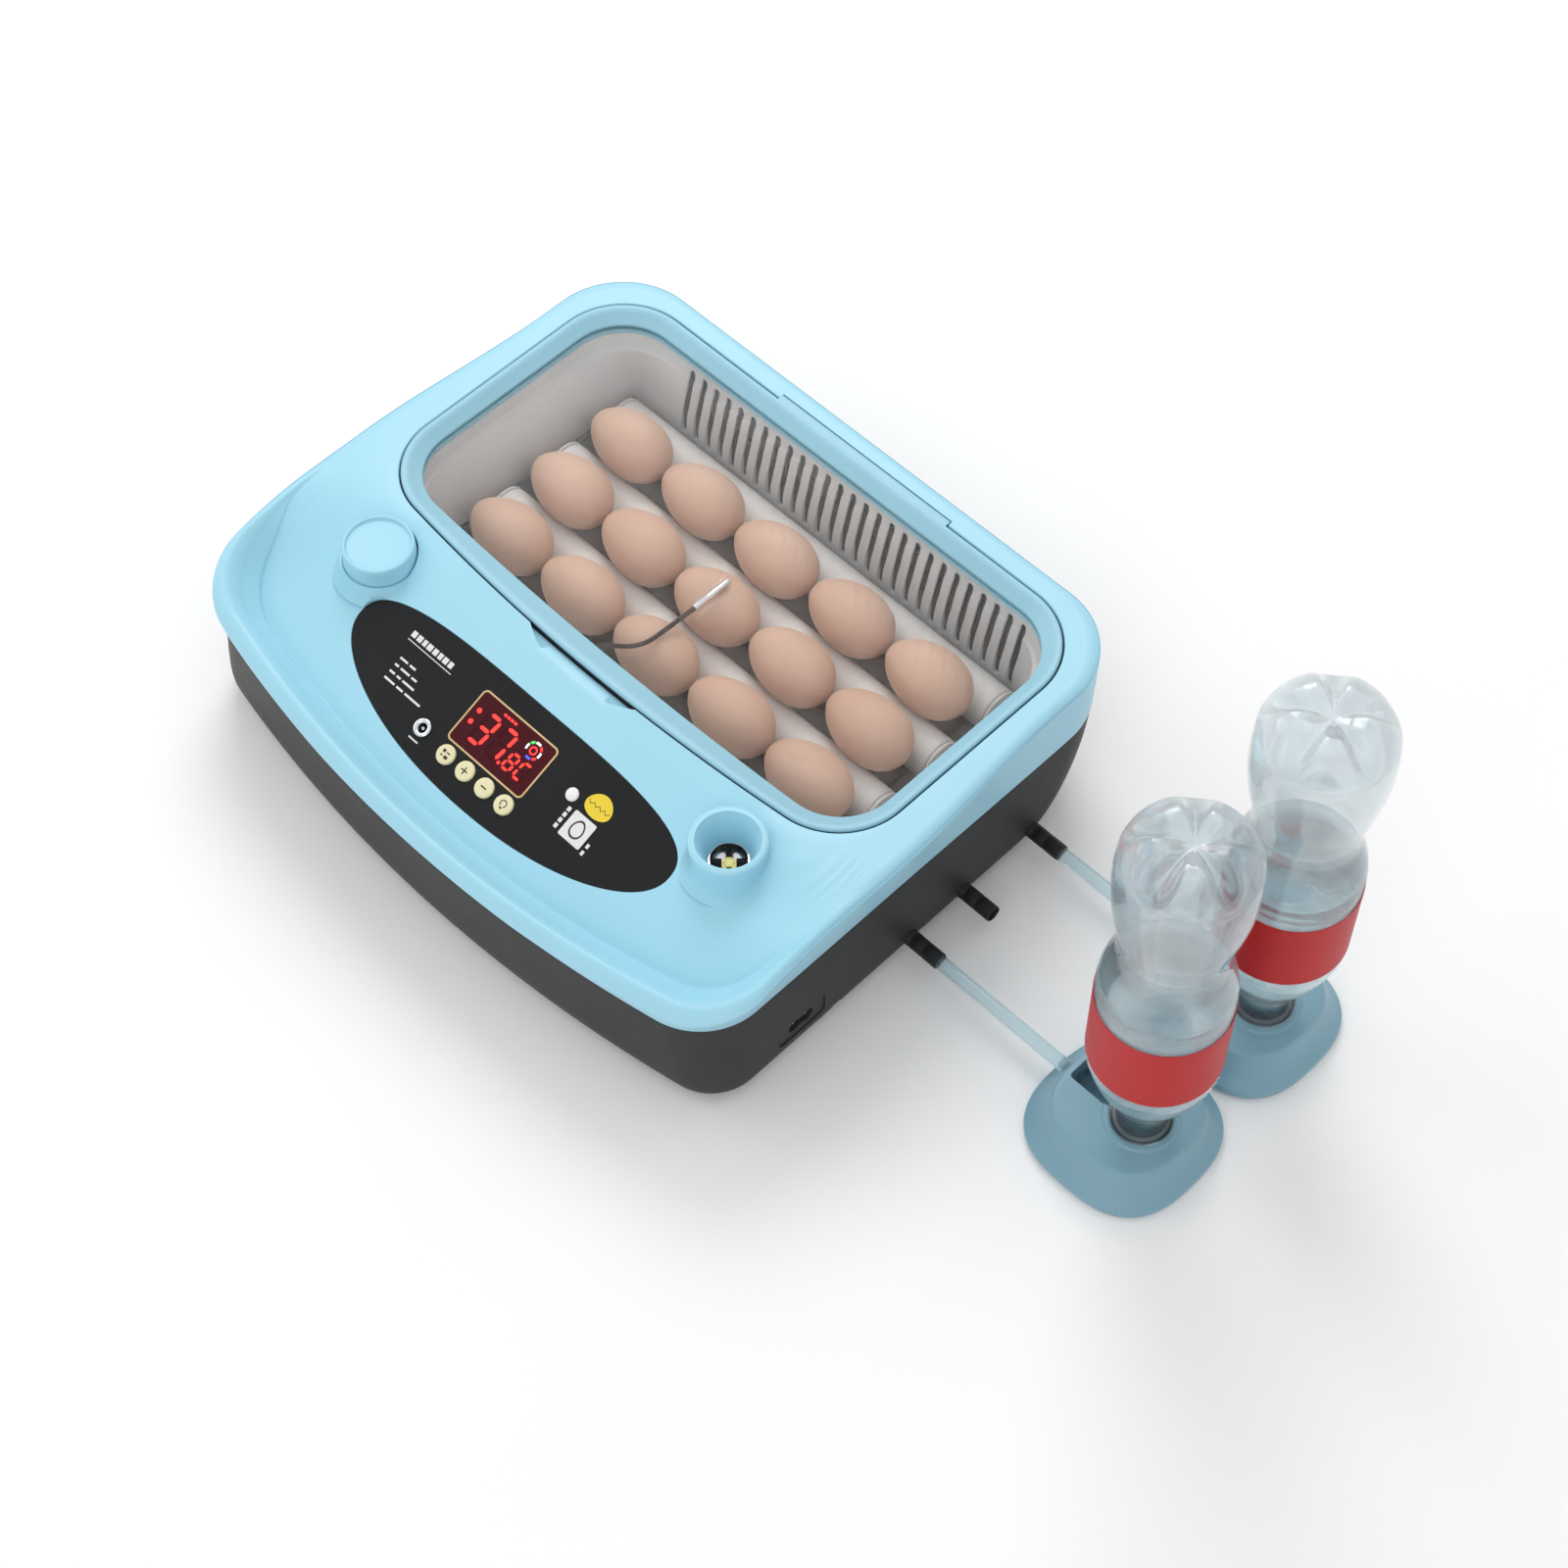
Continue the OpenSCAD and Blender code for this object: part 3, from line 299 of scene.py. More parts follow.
def skin(rings, closed=False, caps=True):
    n = len(rings[0])
    vs = [p for r in rings for p in r]
    fs = []
    count = len(rings)
    for k in range(count if closed else count - 1):
        a, b = k * n, ((k + 1) % count) * n
        fs += [(a + i, a + (i + 1) % n, b + (i + 1) % n, b + i) for i in range(n)]
    if caps and not closed:
        fs.append(tuple(range(n - 1, -1, -1)))
        fs.append(tuple((count - 1) * n + i for i in range(n)))
    return vs, fs


def prism(pts, z0, z1):
    return skin([[(x, y, z0) for x, y in pts], [(x, y, z1) for x, y in pts]])


def block(x0, x1, y0, y1, z0, z1):
    return prism([(x0, y0), (x1, y0), (x1, y1), (x0, y1)], z0, z1)


def rounded(w, d, r, n=8, cx=0.0, cy=0.0):
    pts = []
    for sx, sy, a0 in ((1, 1, 0), (-1, 1, 90), (-1, -1, 180), (1, -1, 270)):
        for i in range(n + 1):
            a = math.radians(a0 + 90 * i / n)
            pts.append((cx + sx * (w / 2 - r) + r * math.cos(a), cy + sy * (d / 2 - r) + r * math.sin(a)))
    return pts


def circle(r, n=48, cx=0.0, cy=0.0):
    return [(cx + r * math.cos(2 * math.pi * i / n),
             cy + r * math.sin(2 * math.pi * i / n)) for i in range(n)]


def squircle(cx, cy, a, b, e, n):
    out = []
    for i in range(n):
        t = 2 * math.pi * i / n
        c, s = math.cos(t), math.sin(t)
        out.append((cx + a * math.copysign(abs(c) ** (2 / e), c),
                    cy + b * math.copysign(abs(s) ** (2 / e), s)))
    return out


def panel_shape(a, b, n):
    return [(x, y + 10 * (x / a) ** 2) for x, y in squircle(0, 0, a, b, 2.3, n)]


def catmull(p, q, s, t, w):
    return tuple(0.5 * (2 * b + (c - a) * w + (2 * a - 5 * b + 4 * c - d) * w * w
                        + (3 * b - a - 3 * c + d) * w ** 3)
                 for a, b, c, d in zip(p, q, s, t))


def refine(rings, m):
    """Adds m - 1 smooth rings between each pair."""
    out = []
    last = len(rings) - 1
    for i in range(last):
        p, q, s, t = rings[max(i - 1, 0)], rings[i], rings[i + 1], rings[min(i + 2, last)]
        for j in range(m):
            out.append([catmull(a, b, c, d, j / m) for a, b, c, d in zip(p, q, s, t)])
    return out + [rings[-1]]


def piece(name, geo, mat, body, nodes=(), bevel=0.0, segments=3, angle=35, smooth=True,
          thin=False):
    vs, fs = geo
    me = bpy.data.meshes.new(name)
    me.from_pydata([(x * MM, y * MM, z * MM) for x, y, z in vs], [], fs)
    me.validate()
    bm = bmesh.new()
    bm.from_mesh(me)
    bmesh.ops.remove_doubles(bm, verts=bm.verts, dist=1e-6)
    if not thin:
        bmesh.ops.recalc_face_normals(bm, faces=bm.faces)
    bm.to_mesh(me)
    bm.free()
    ob = bpy.data.objects.new(name, me)
    bpy.context.scene.collection.objects.link(ob)
    me.materials.append(M[mat])
    if smooth:
        me.polygons.foreach_set("use_smooth", [True] * len(me.polygons))
        me.set_sharp_from_angle(angle=math.radians(angle))
    if bevel:
        b = ob.modifiers.new("bevel", "BEVEL")
        b.width = bevel * MM
        b.segments = segments
        b.limit_method = "ANGLE"
        b.angle_limit = math.radians(40)
        b.harden_normals = True
    if body:
        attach(ob, body)
        if nodes:
            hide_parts(*nodes)
    return ob


def carve(ob, geos, op="DIFFERENCE", angle=35):
    """Cuts or adds closed shapes, applied to the mesh."""
    cutter = piece(ob.name + "_cutter", join(*geos), "dark", None, smooth=False)
    mod = ob.modifiers.new("carve", "BOOLEAN")
    mod.operation = op
    mod.solver = "EXACT"
    mod.use_self = True
    mod.object = cutter
    bpy.context.view_layer.update()
    dg = bpy.context.evaluated_depsgraph_get()
    me = bpy.data.meshes.new_from_object(ob.evaluated_get(dg))
    ob.modifiers.clear()
    old = ob.data
    ob.data = me
    bpy.data.meshes.remove(old)
    bpy.data.objects.remove(cutter)
    me.polygons.foreach_set("use_smooth", [True] * len(me.polygons))
    me.set_sharp_from_angle(angle=math.radians(angle))
    return ob


def ride(ob, body, nodes=()):
    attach(ob, body)
    if nodes:
        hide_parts(*nodes)
    return ob


# ------------------------------------------- outlines and main dimensions, mm
ARC_N, SIDE_N, BACK_N, FRONT_N = 20, 44, 26, 44


def deck(y):
    d = BEND - y
    return DECK - GRADE * (d + math.hypot(d, 6)) / 2


def flat_or_deck(y):
    return DECK if y > BEND + 14 else deck(y)


def outline(hw, yf, yb, rf, rb, bow):
    t = math.atan(2 * bow / (hw - rf))
    xe = hw - rf + rf * math.sin(t)
    cy = yf + bow + rf * math.cos(t)
    pts = []

    def arc(cx, cyy, r, a, b):
        for i in range(ARC_N + 1):
            w = a + (b - a) * i / ARC_N
            pts.append((cx + r * math.cos(w), cyy + r * math.sin(w)))

    side = [cy + (yb - rb - cy) * (1 - i / (SIDE_N + 1)) ** 1.35 for i in range(1, SIDE_N + 1)]
    arc(hw - rb, yb - rb, rb, 0, math.pi / 2)
    for i in range(1, BACK_N + 1):
        pts.append(((hw - rb) * (1 - 2 * i / (BACK_N + 1)), yb))
    arc(rb - hw, yb - rb, rb, math.pi / 2, math.pi)
    pts.extend((-hw, y) for y in side)
    arc(rf - hw, cy, rf, math.pi, 1.5 * math.pi - t)
    for i in range(1, FRONT_N + 1):
        x = -xe + 2 * xe * i / (FRONT_N + 1)
        pts.append((x, yf + bow * (x / xe) ** 2))
    arc(hw - rf, cy, rf, 1.5 * math.pi + t, 2 * math.pi)
    pts.extend((hw, y) for y in reversed(side))
    return pts


def lift(pts, z):
    return [(x, y, z) for x, y in pts]


def mix(a, b, t):
    return [(p[0] + (q[0] - p[0]) * t, p[1] + (q[1] - p[1]) * t) for p, q in zip(a, b)]


def case_ring(hw, f, b):
    return outline(hw, -f, b, 40, 48, 18)


def hatch(d):
    return outline(181.6 + d, -47 - d, 156 + d, 44 + d, 44 + d, 8)


def mouth(d):
    return outline(171.5 + d, -31 - d, 145 + d, 35 + d, 35 + d, 4)


WALL = 2.6
PANEL = on_slope(-1.9, -106.5)
DISPLAY = on_slope(-4, -101.2)
BUTTONS = [on_slope(-25.5 + 15 * i, -123) for i in range(4)]
JACK = on_slope(-46.5, -120.7)
LAMP = on_slope(45.8, -97.9)
INLET = Matrix(((0, 0, 1, 188.5), (1, 0, 0, -85), (0, 1, 0, 25), (0, 0, 0, 1)))
CASE_HALF, CASE_FRONT, CASE_BACK, SPLIT = 197.0, 171.0, 168.0, 68.0
LEDGE = 96.0
HINGE_X0, HINGE_X1, HINGE_Z = -56.0, 72.0, DECK - 1.3
CUP, VENT = (134.0, -71.0), (-134.0, -71.0)
PORT_Y, PORT_Z = (-4.0, 37.0, 91.0), 13.5
ROLLER_Y = (-19.0, 27.0, 73.0, 119.0)
ROW_Y = (4.0, 50.0, 96.0)
ROLLER_Z, EGG_Z, EGG_R, EGG_LEN = 42.5, 66.0, 19.1, 55.4


# --------------------------------------------------------------- case base
def build_base():
    rows = [(3, 192, 162, 124, 28), (4.2, 195.6, 164.6, 126.8, 28.5), (6, 198, 166.5, 130, 29),
            (12, 200, 168.5, 138, 30),
            (22, 200.2, 169.8, 147.5, 32), (36, 199.8, 170.3, 156, 35), (50, 198.8, 170.7, 162.5, 38),
            (66.6, CASE_HALF, CASE_FRONT, CASE_BACK, 40),
            (68, CASE_HALF - 0.9, CASE_FRONT - 0.9, CASE_BACK - 0.9, 39)]
    outer = refine([lift(outline(r[1], -r[2], r[3], r[4], 48, 18), r[0]) for r in rows], 4)
    inner = [lift(outline(r[1] - WALL, WALL - r[2], r[3] - WALL, r[4] - WALL, 45.4, 18), z)
             for r, z in ((rows[7], 68), (rows[6], 50), (rows[5], 36), (rows[4], 22))]
    inner += [lift(outline(195.5, -164, 133, 28, 43, 17.5), z) for z in (16, 10)]
    ob = piece("case_base", skin(outer + inner), "dark", None)
    cuts = [prism(outline(166, -140, 104, 30, 34, 14), -1, 7)]
    cuts += [block(min(s * 150, s * 210), max(s * 150, s * 210), -76, 76, -1, 8) for s in (-1, 1)]
    cuts += [xform(rod(4.8, 0, 28, 48), along_x(178, y, PORT_Z)) for y in PORT_Y]
    cuts.append(xform(prism(rounded(34, 18, 4.5), 0, 16), INLET))
    cuts.append(block(190, 205, -62, -55, 2, 11.5))
    pads = [block(185, 198.8, -104, -66, 12, 37)]
    carve(ob, pads, "UNION", 32)
    carve(ob, cuts, "DIFFERENCE", 32)
    ride(ob, "case", ["base_shell"])
    piece("base_pad", lathe([(0, 0), (19.2, 0), (20, 0.8), (20, 7.5), (0, 7.5)], 96), "dark", "case")
    for i, (x, y) in enumerate(((-176, -104), (176, -104), (-172, 90), (172, 90))):
        piece("rubber_foot_%d" % i, xform(lathe([(0, 0), (6.8, 0), (7.5, 0.7), (7.5, 3.4), (0, 3.4)], 64),
                                          at(x, y, 0)),
              "rubber", "case", ["rubber_feet"] if i == 0 else ())


build_base()


# --------------------------------------------------------------- top shell
def rim_z(y):
    return DECK - 0.6 if y > -60 else 73 + (DECK - 73.6) * (1 - ((-60 - y) / 111) ** 2)


def flare(y):
    t = max(0.0, min(1.0, (110 - y) / 130))
    return 1 + 0.036 * t * t * (3 - 2 * t)


def build_top():
    def flared(hw, f, b):
        return [(x * flare(y), y) for x, y in case_ring(hw, f, b)]

    edge = flared(CASE_HALF, CASE_FRONT + 0.5, CASE_BACK + 2)
    crest = flared(CASE_HALF - 4, CASE_FRONT - 6, CASE_BACK - 1.5)
    inmost = flared(CASE_HALF - 14, CASE_FRONT - 21, CASE_BACK - 8)

    def open_up(y):
        t = max(0.0, min(1.0, (-72 - y) / 48))
        return t * t * (3 - 2 * t)

    def dish(x, y):
        s = max(0.0, (abs(x) - 150) / 54)
        return flat_or_deck(y) + max(0.0, rim_z(y) - flat_or_deck(y)) * (1 - open_up(y)) * min(1.0, s * s)

    crease = []
    for (x, y), (u, v) in zip(crest, inmost):
        k = 0.15 + 0.85 * open_up(y)
        crease.append((x + (u - x) * k, y + (v - y) * k))

    def on_deck(pts, drop=0.0):
        return [(x, y, dish(x, y) - drop) for x, y in pts]

    def crest_z(y):
        return max(rim_z(y), flat_or_deck(y) - 0.2)

    def lip_ring(t, share, swell):
        return [(x + (u - x) * t, y + (v - y) * t,
                 crest_z(y) * (1 - share) + dish(u, v) * share + swell * open_up(y))
                for (x, y), (u, v) in zip(crest, crease)]

    lip = lip_ring(0.5, 0.45, 0.0)
    under, inside = [], []
    for (x, y), (u, v, z) in zip(crest, lip):
        q = ((0.3 * x + 0.7 * u) * 0.992, (0.3 * y + 0.7 * v) * 0.992)
        k = open_up(q[1])
        z -= WALL + 0.8
        under.append((*q, z * k + min(z, dish(*q) - WALL - 0.8) * (1 - k)))
    wall_line = case_ring(CASE_HALF - WALL, CASE_FRONT - WALL, CASE_BACK - WALL)
    for (x, y), p in zip(wall_line, under):
        inside.append((x, y, max(min(rim_z(y) - 6.4, p[2] - 3.5), SPLIT + 0.7)))
    w = hatch(0)
    base = [lift(case_ring(CASE_HALF, CASE_FRONT, CASE_BACK), SPLIT + 0.4),
            [(x, y, SPLIT + 0.9) for x, y in case_ring(CASE_HALF + 0.3, CASE_FRONT + 0.3, CASE_BACK + 0.3)],
            [(x, y, max(rim_z(y) - 5, SPLIT + 1.6)) for x, y in edge],
            [(x * 0.9985, y * 0.998, rim_z(y) - 2.4) for x, y in edge],
            [(x, y, rim_z(y) - 0.5) for x, y in mix(edge, crest, 0.45)],
            [(x, y, crest_z(y)) for x, y in crest],
            lip_ring(0.3, 0.24, 0.5), lip, lip_ring(0.75, 0.70, 0.0), lip_ring(0.92, 0.85, 0.0),
            on_deck(crease)]
    base += [on_deck(mix(crease, w, t)) for t in (0.06, 0.16, 0.3, 0.45, 0.6, 0.75, 0.9)]
    outer = refine(base, 4)
    outer += [[(x, y, min(DECK, flat_or_deck(y))) for x, y in hatch(0.9)], lift(hatch(0.35), DECK - 0.15),
              lift(hatch(0), DECK - 0.8), lift(hatch(0), LEDGE), lift(mouth(0), LEDGE),
              lift(mouth(0), LEDGE - 2.8)]
    inner = [lift(hatch(WALL), LEDGE - 2.8), lift(hatch(WALL), DECK - WALL - 1),
             on_deck(mix(crease, hatch(WALL), 0.75), WALL), on_deck(mix(crease, hatch(WALL), 0.45), WALL),
             on_deck(mix(crease, hatch(WALL), 0.12), WALL), on_deck(crease, WALL), under, inside,
             lift(wall_line, SPLIT + 0.4)]
    ob = piece("case_top", skin(outer + inner, closed=True), "blue", None)
    candler_cup = lathe([(0, 84), (27, 87.5), (24.4, 91), (22.6, 94.5), (21.5, 98.5), (21, 103),
                         (21, 108.4), (20.6, 109.4), (19.8, 110), (0, 110)], 120)
    vent_collar = lathe([(0, 84), (27.5, 88), (25, 91.5), (23.3, 95), (22.4, 97.4), (21.9, 98.2),
                         (0, 98.2)], 120)
    adds = [xform(candler_cup, at(*CUP, 0)), xform(vent_collar, at(*VENT, 0)),
            block(-60, 76, 156.5, 163, 97, DECK - 1)]
    carve(ob, adds, "UNION", 50)
    cuts = [xform(lathe([(0, 80), (10.8, 80), (10.8, 91.5), (11.5, 93), (16.4, 108.8), (17.3, 109.9),
                         (18, 112), (0, 112)], 120), at(*CUP, 0)),
            xform(lathe([(0, 80), (9.4, 80), (9.4, 97.5), (20.7, 97.5), (20.9, 98.6), (22, 120), (0, 120)],
                        120), at(*VENT, 0)),
            xform(prism(panel_shape(119.8, 34.5, 200), -0.8, 6), PANEL),
            xform(prism(rounded(52, 28, 1), -6, 6), DISPLAY),
            xform(lathe([(0, 0), (87.7, 0), (88, 0.3), (88, 30), (0, 30)], 400),
                  at(0, -57, DECK) @ Matrix.Rotation(math.radians(-21), 4, "X") @ at(0, 88, 0)),
            block(HINGE_X0 - 0.4, HINGE_X1 + 0.4, 154, 159.6, HINGE_Z - 2.4, DECK + 2)]
    cuts += [xform(rod(5.95, -9, 10, 48), m) for m in BUTTONS]
    cuts += [xform(rod(4.1, -9, 10, 48), JACK), xform(rod(2.6, -9, 10, 48), LAMP)]
    carve(ob, cuts, "DIFFERENCE", 50)
    ride(ob, "case", ["top_shell"])


build_top()


# ----------------------------------------------------------- chamber liner
def build_liner():
    rings = [lift(outline(154.8, -36.8, 136.8, 6.5, 6.5, 0.5), 27),
             lift(outline(155.6, -36.8, 138.3, 8.5, 8.5, 0.5), 62),
             lift(outline(172.6, -34.6, 147.2, 36, 36, 2), 93),
             lift(outline(170.4, -32.4, 145, 34, 34, 2), 93),
             lift(outline(168.4, -33, 143.8, 33, 33, 2), 84.2),
             lift(outline(168.0, -33, 143.4, 33, 33, 2), 83.6),
             lift(outline(166.6, -33, 142.8, 32, 32, 2), 83.2),
             lift(outline(166.0, -33, 142.4, 32, 32, 2), 82.4),
             lift(outline(157.5, -34.0, 138.4, 13, 13, 1), 66),
             lift(outline(154.6, -34.4, 136.6, 8, 8, 0.5), 60),
             lift(outline(153.4, -34.6, 135.6, 6.5, 6.5, 0.5), 54),
             lift(outline(152.6, -34.6, 134.6, 4.5, 4.5, 0.5), 27)]
    ob = piece("chamber_liner_wall", skin(rings, closed=True), "liner", None)
    holes = [xform(rod(4.6, 0, 30, 40), along_x(-170, y, ROLLER_Z)) for y in ROLLER_Y]
    slots = []
    for i in range(27):
        pts = [(2.1 * math.cos(math.radians(a)), 88 + 2.1 * math.sin(math.radians(a))) for a in range(0,
                                                                                                      181,
                                                                                                      20)]
        pts += [(2.1 * math.cos(math.radians(a)), 47 + 2.1 * math.sin(math.radians(a))) for a in range(180,
                                                                                                       361,
                                                                                                       20)]
        v, f = prism(pts, 0, 30)
        slots.append(([(x - 114 + 9.77 * i, 160 - z, y) for x, y, z in v], f))
    hole = xform(rod(3.4, -6, 6, 32), along_y(-22, -35, 78.4))
    carve(ob, holes + slots + [hole], "DIFFERENCE", 30)
    ride(ob, "case", ["chamber_liner"])
    stubs = join(*[xform(lathe([(0, 0), (2.5, 0), (2.5, 12), (2.1, 12.4), (0, 12.4)], 40),
                         along_x(-166, y, ROLLER_Z)) for y in ROW_Y])
    piece("idler_studs", stubs, "liner", "case")


build_liner()


# ------------------------------------------------------- rollers and eggs
def build_rollers():
    prof = [(3.05, -148.6), (13.0, -148.6), (13.4, -148.45), (13.5, -148.1), (13.5, -147.8), (13.3, -147.4),
            (11.2, -147.3), (11, -147.1),
            (11, -146.3), (11.2, -146.1), (12.9, -146), (13.4, -145.7), (13.5, -145.2)]
    ridges = []
    for k in range(1, 10):
        x = -145.2 + 29.04 * k
        ridges += [(13.5, x - 0.5), (13.42, x - 0.2), (13.42, x + 0.2), (13.5, x + 0.5)]
    full = prof + ridges + [(r, -z) for r, z in reversed(prof)]
    for i, y in enumerate(ROLLER_Y):
        piece("roller_tube_%d" % (i + 1), xform(lathe(full, 96, closed=True), along_x(0, y, ROLLER_Z)),
              "roller",
              "roller_body_%d" % (i + 1), ["roller_%d" % (i + 1)], angle=50)


build_rollers()


def egg_geo(flip, stretch):
    prof = []
    for k in range(0, 61):
        t = math.pi * k / 60
        prof.append((max(0.0, EGG_R / 1.0085 * stretch * math.sin(t) * (1 - 0.13 * math.cos(t))),
                     -EGG_LEN / 2 * math.cos(t)))
    prof[0] = (0, prof[0][1])
    prof[-1] = (0, prof[-1][1])
    g = lathe(prof, 72)
    return xform(g, Matrix.Rotation(math.pi, 4, "X")) if flip else g


for row, y in zip(("front", "middle", "back"), ROW_Y):
    for i in range(5):
        g = egg_geo(False, 1.0 - 0.012 * RND.random())
        spin = Matrix.Rotation(RND.random() * 6.28, 4, "Z")
        piece("egg_%s_%d" % (row, i + 1), xform(g, along_x(58 * (i - 2), y, EGG_Z) @ spin), "egg",
              "egg_row_" + row,
              ["eggs_" + row] if i == 0 else (), angle=80)


# --------------------------------------------------------------------- lid
def build_lid():
    def o(hw, yf, yb, r, bow, z):
        return lift(outline(hw, yf, yb, r, r, bow), z)

    top = refine([o(180.7, -46, 154.8, 43, 8, 104.6), o(180.55, -45.8, 154.65, 42.9, 8, 105.3),
                  o(180.0, -45.2, 154.1, 42.4, 8, 105.7),
                  o(178.6, -43.7, 152.7, 41.2, 7.6, 105.75), o(176.6, -40.6, 150.6, 39.4, 6.6, 105.0),
                  o(173.4, -35.4, 147.4, 36.8, 5, 102.6),
                  o(171.3, -31.7, 145.3, 35, 4, 101.1), o(170.65, -30.9, 144.65, 34.4, 4, 100.5),
                  o(170.6, -30.8, 144.6, 34.4, 4, 99.9)], 3)
    rings = [o(180.7, -46, 154.8, 43, 8, 97.4)] + top + [o(170.6, -30.8, 144.6, 34.4, 4, 99.3),
                                                         o(174.4, -34.6, 148.4, 38, 4, 99.3),
                                                        o(174.4, -34.6, 148.4, 38, 4, 97.4)]
    piece("lid_rim", skin(rings, closed=True), "rim", "lid", ["lid_frame"], angle=40)
    barrel = xform(lathe([(0.86, 0), (2, 0), (2, 128), (0.86, 128)], 40, closed=True),
                   along_x(HINGE_X0, 157.2, HINGE_Z))
    piece("lid_hinge_barrel", barrel, "rim", "lid")
    flat = block(HINGE_X0, HINGE_X1, 152.6, 157.2, HINGE_Z - 1.9, HINGE_Z + 1.95)
    piece("lid_hinge_leaf", flat, "rim", "lid", bevel=0.3)
    pane = skin([o(174.2, -34.4, 148.2, 37.8, 4, z) for z in (97.4, 99.2)])
    piece("lid_pane", pane, "window", "lid", ["lid_window"], smooth=False)


build_lid()


# ----------------------------------------------------------- control panel
def marks(name, shapes, mat, m, z0=0.0, z1=0.04, body="case"):
    return piece(name, xform(join(*[prism(s, z0, z1) for s in shapes]), m), mat, body, smooth=False)


def rect(cx, cy, w, h, a=0.0):
    c, s = math.cos(math.radians(a)), math.sin(math.radians(a))
    return [(cx + c * x - s * y, cy + s * x + c * y) for x,
            y in ((-w / 2, -h / 2), (w / 2, -h / 2), (w / 2, h / 2), (-w / 2, h / 2))]


def ring_pieces(cx, cy, r, t, spans, n=10):
    out = []
    for a0, a1 in spans:
        angs = [math.radians(a0 + (a1 - a0) * i / n) for i in range(n + 1)]
        out.append([(cx + (r - t / 2) * math.cos(a),
                     cy + (r - t / 2) * math.sin(a)) for a in reversed(angs)] +
                   [(cx + (r + t / 2) * math.cos(a), cy + (r + t / 2) * math.sin(a)) for a in angs])
    return out


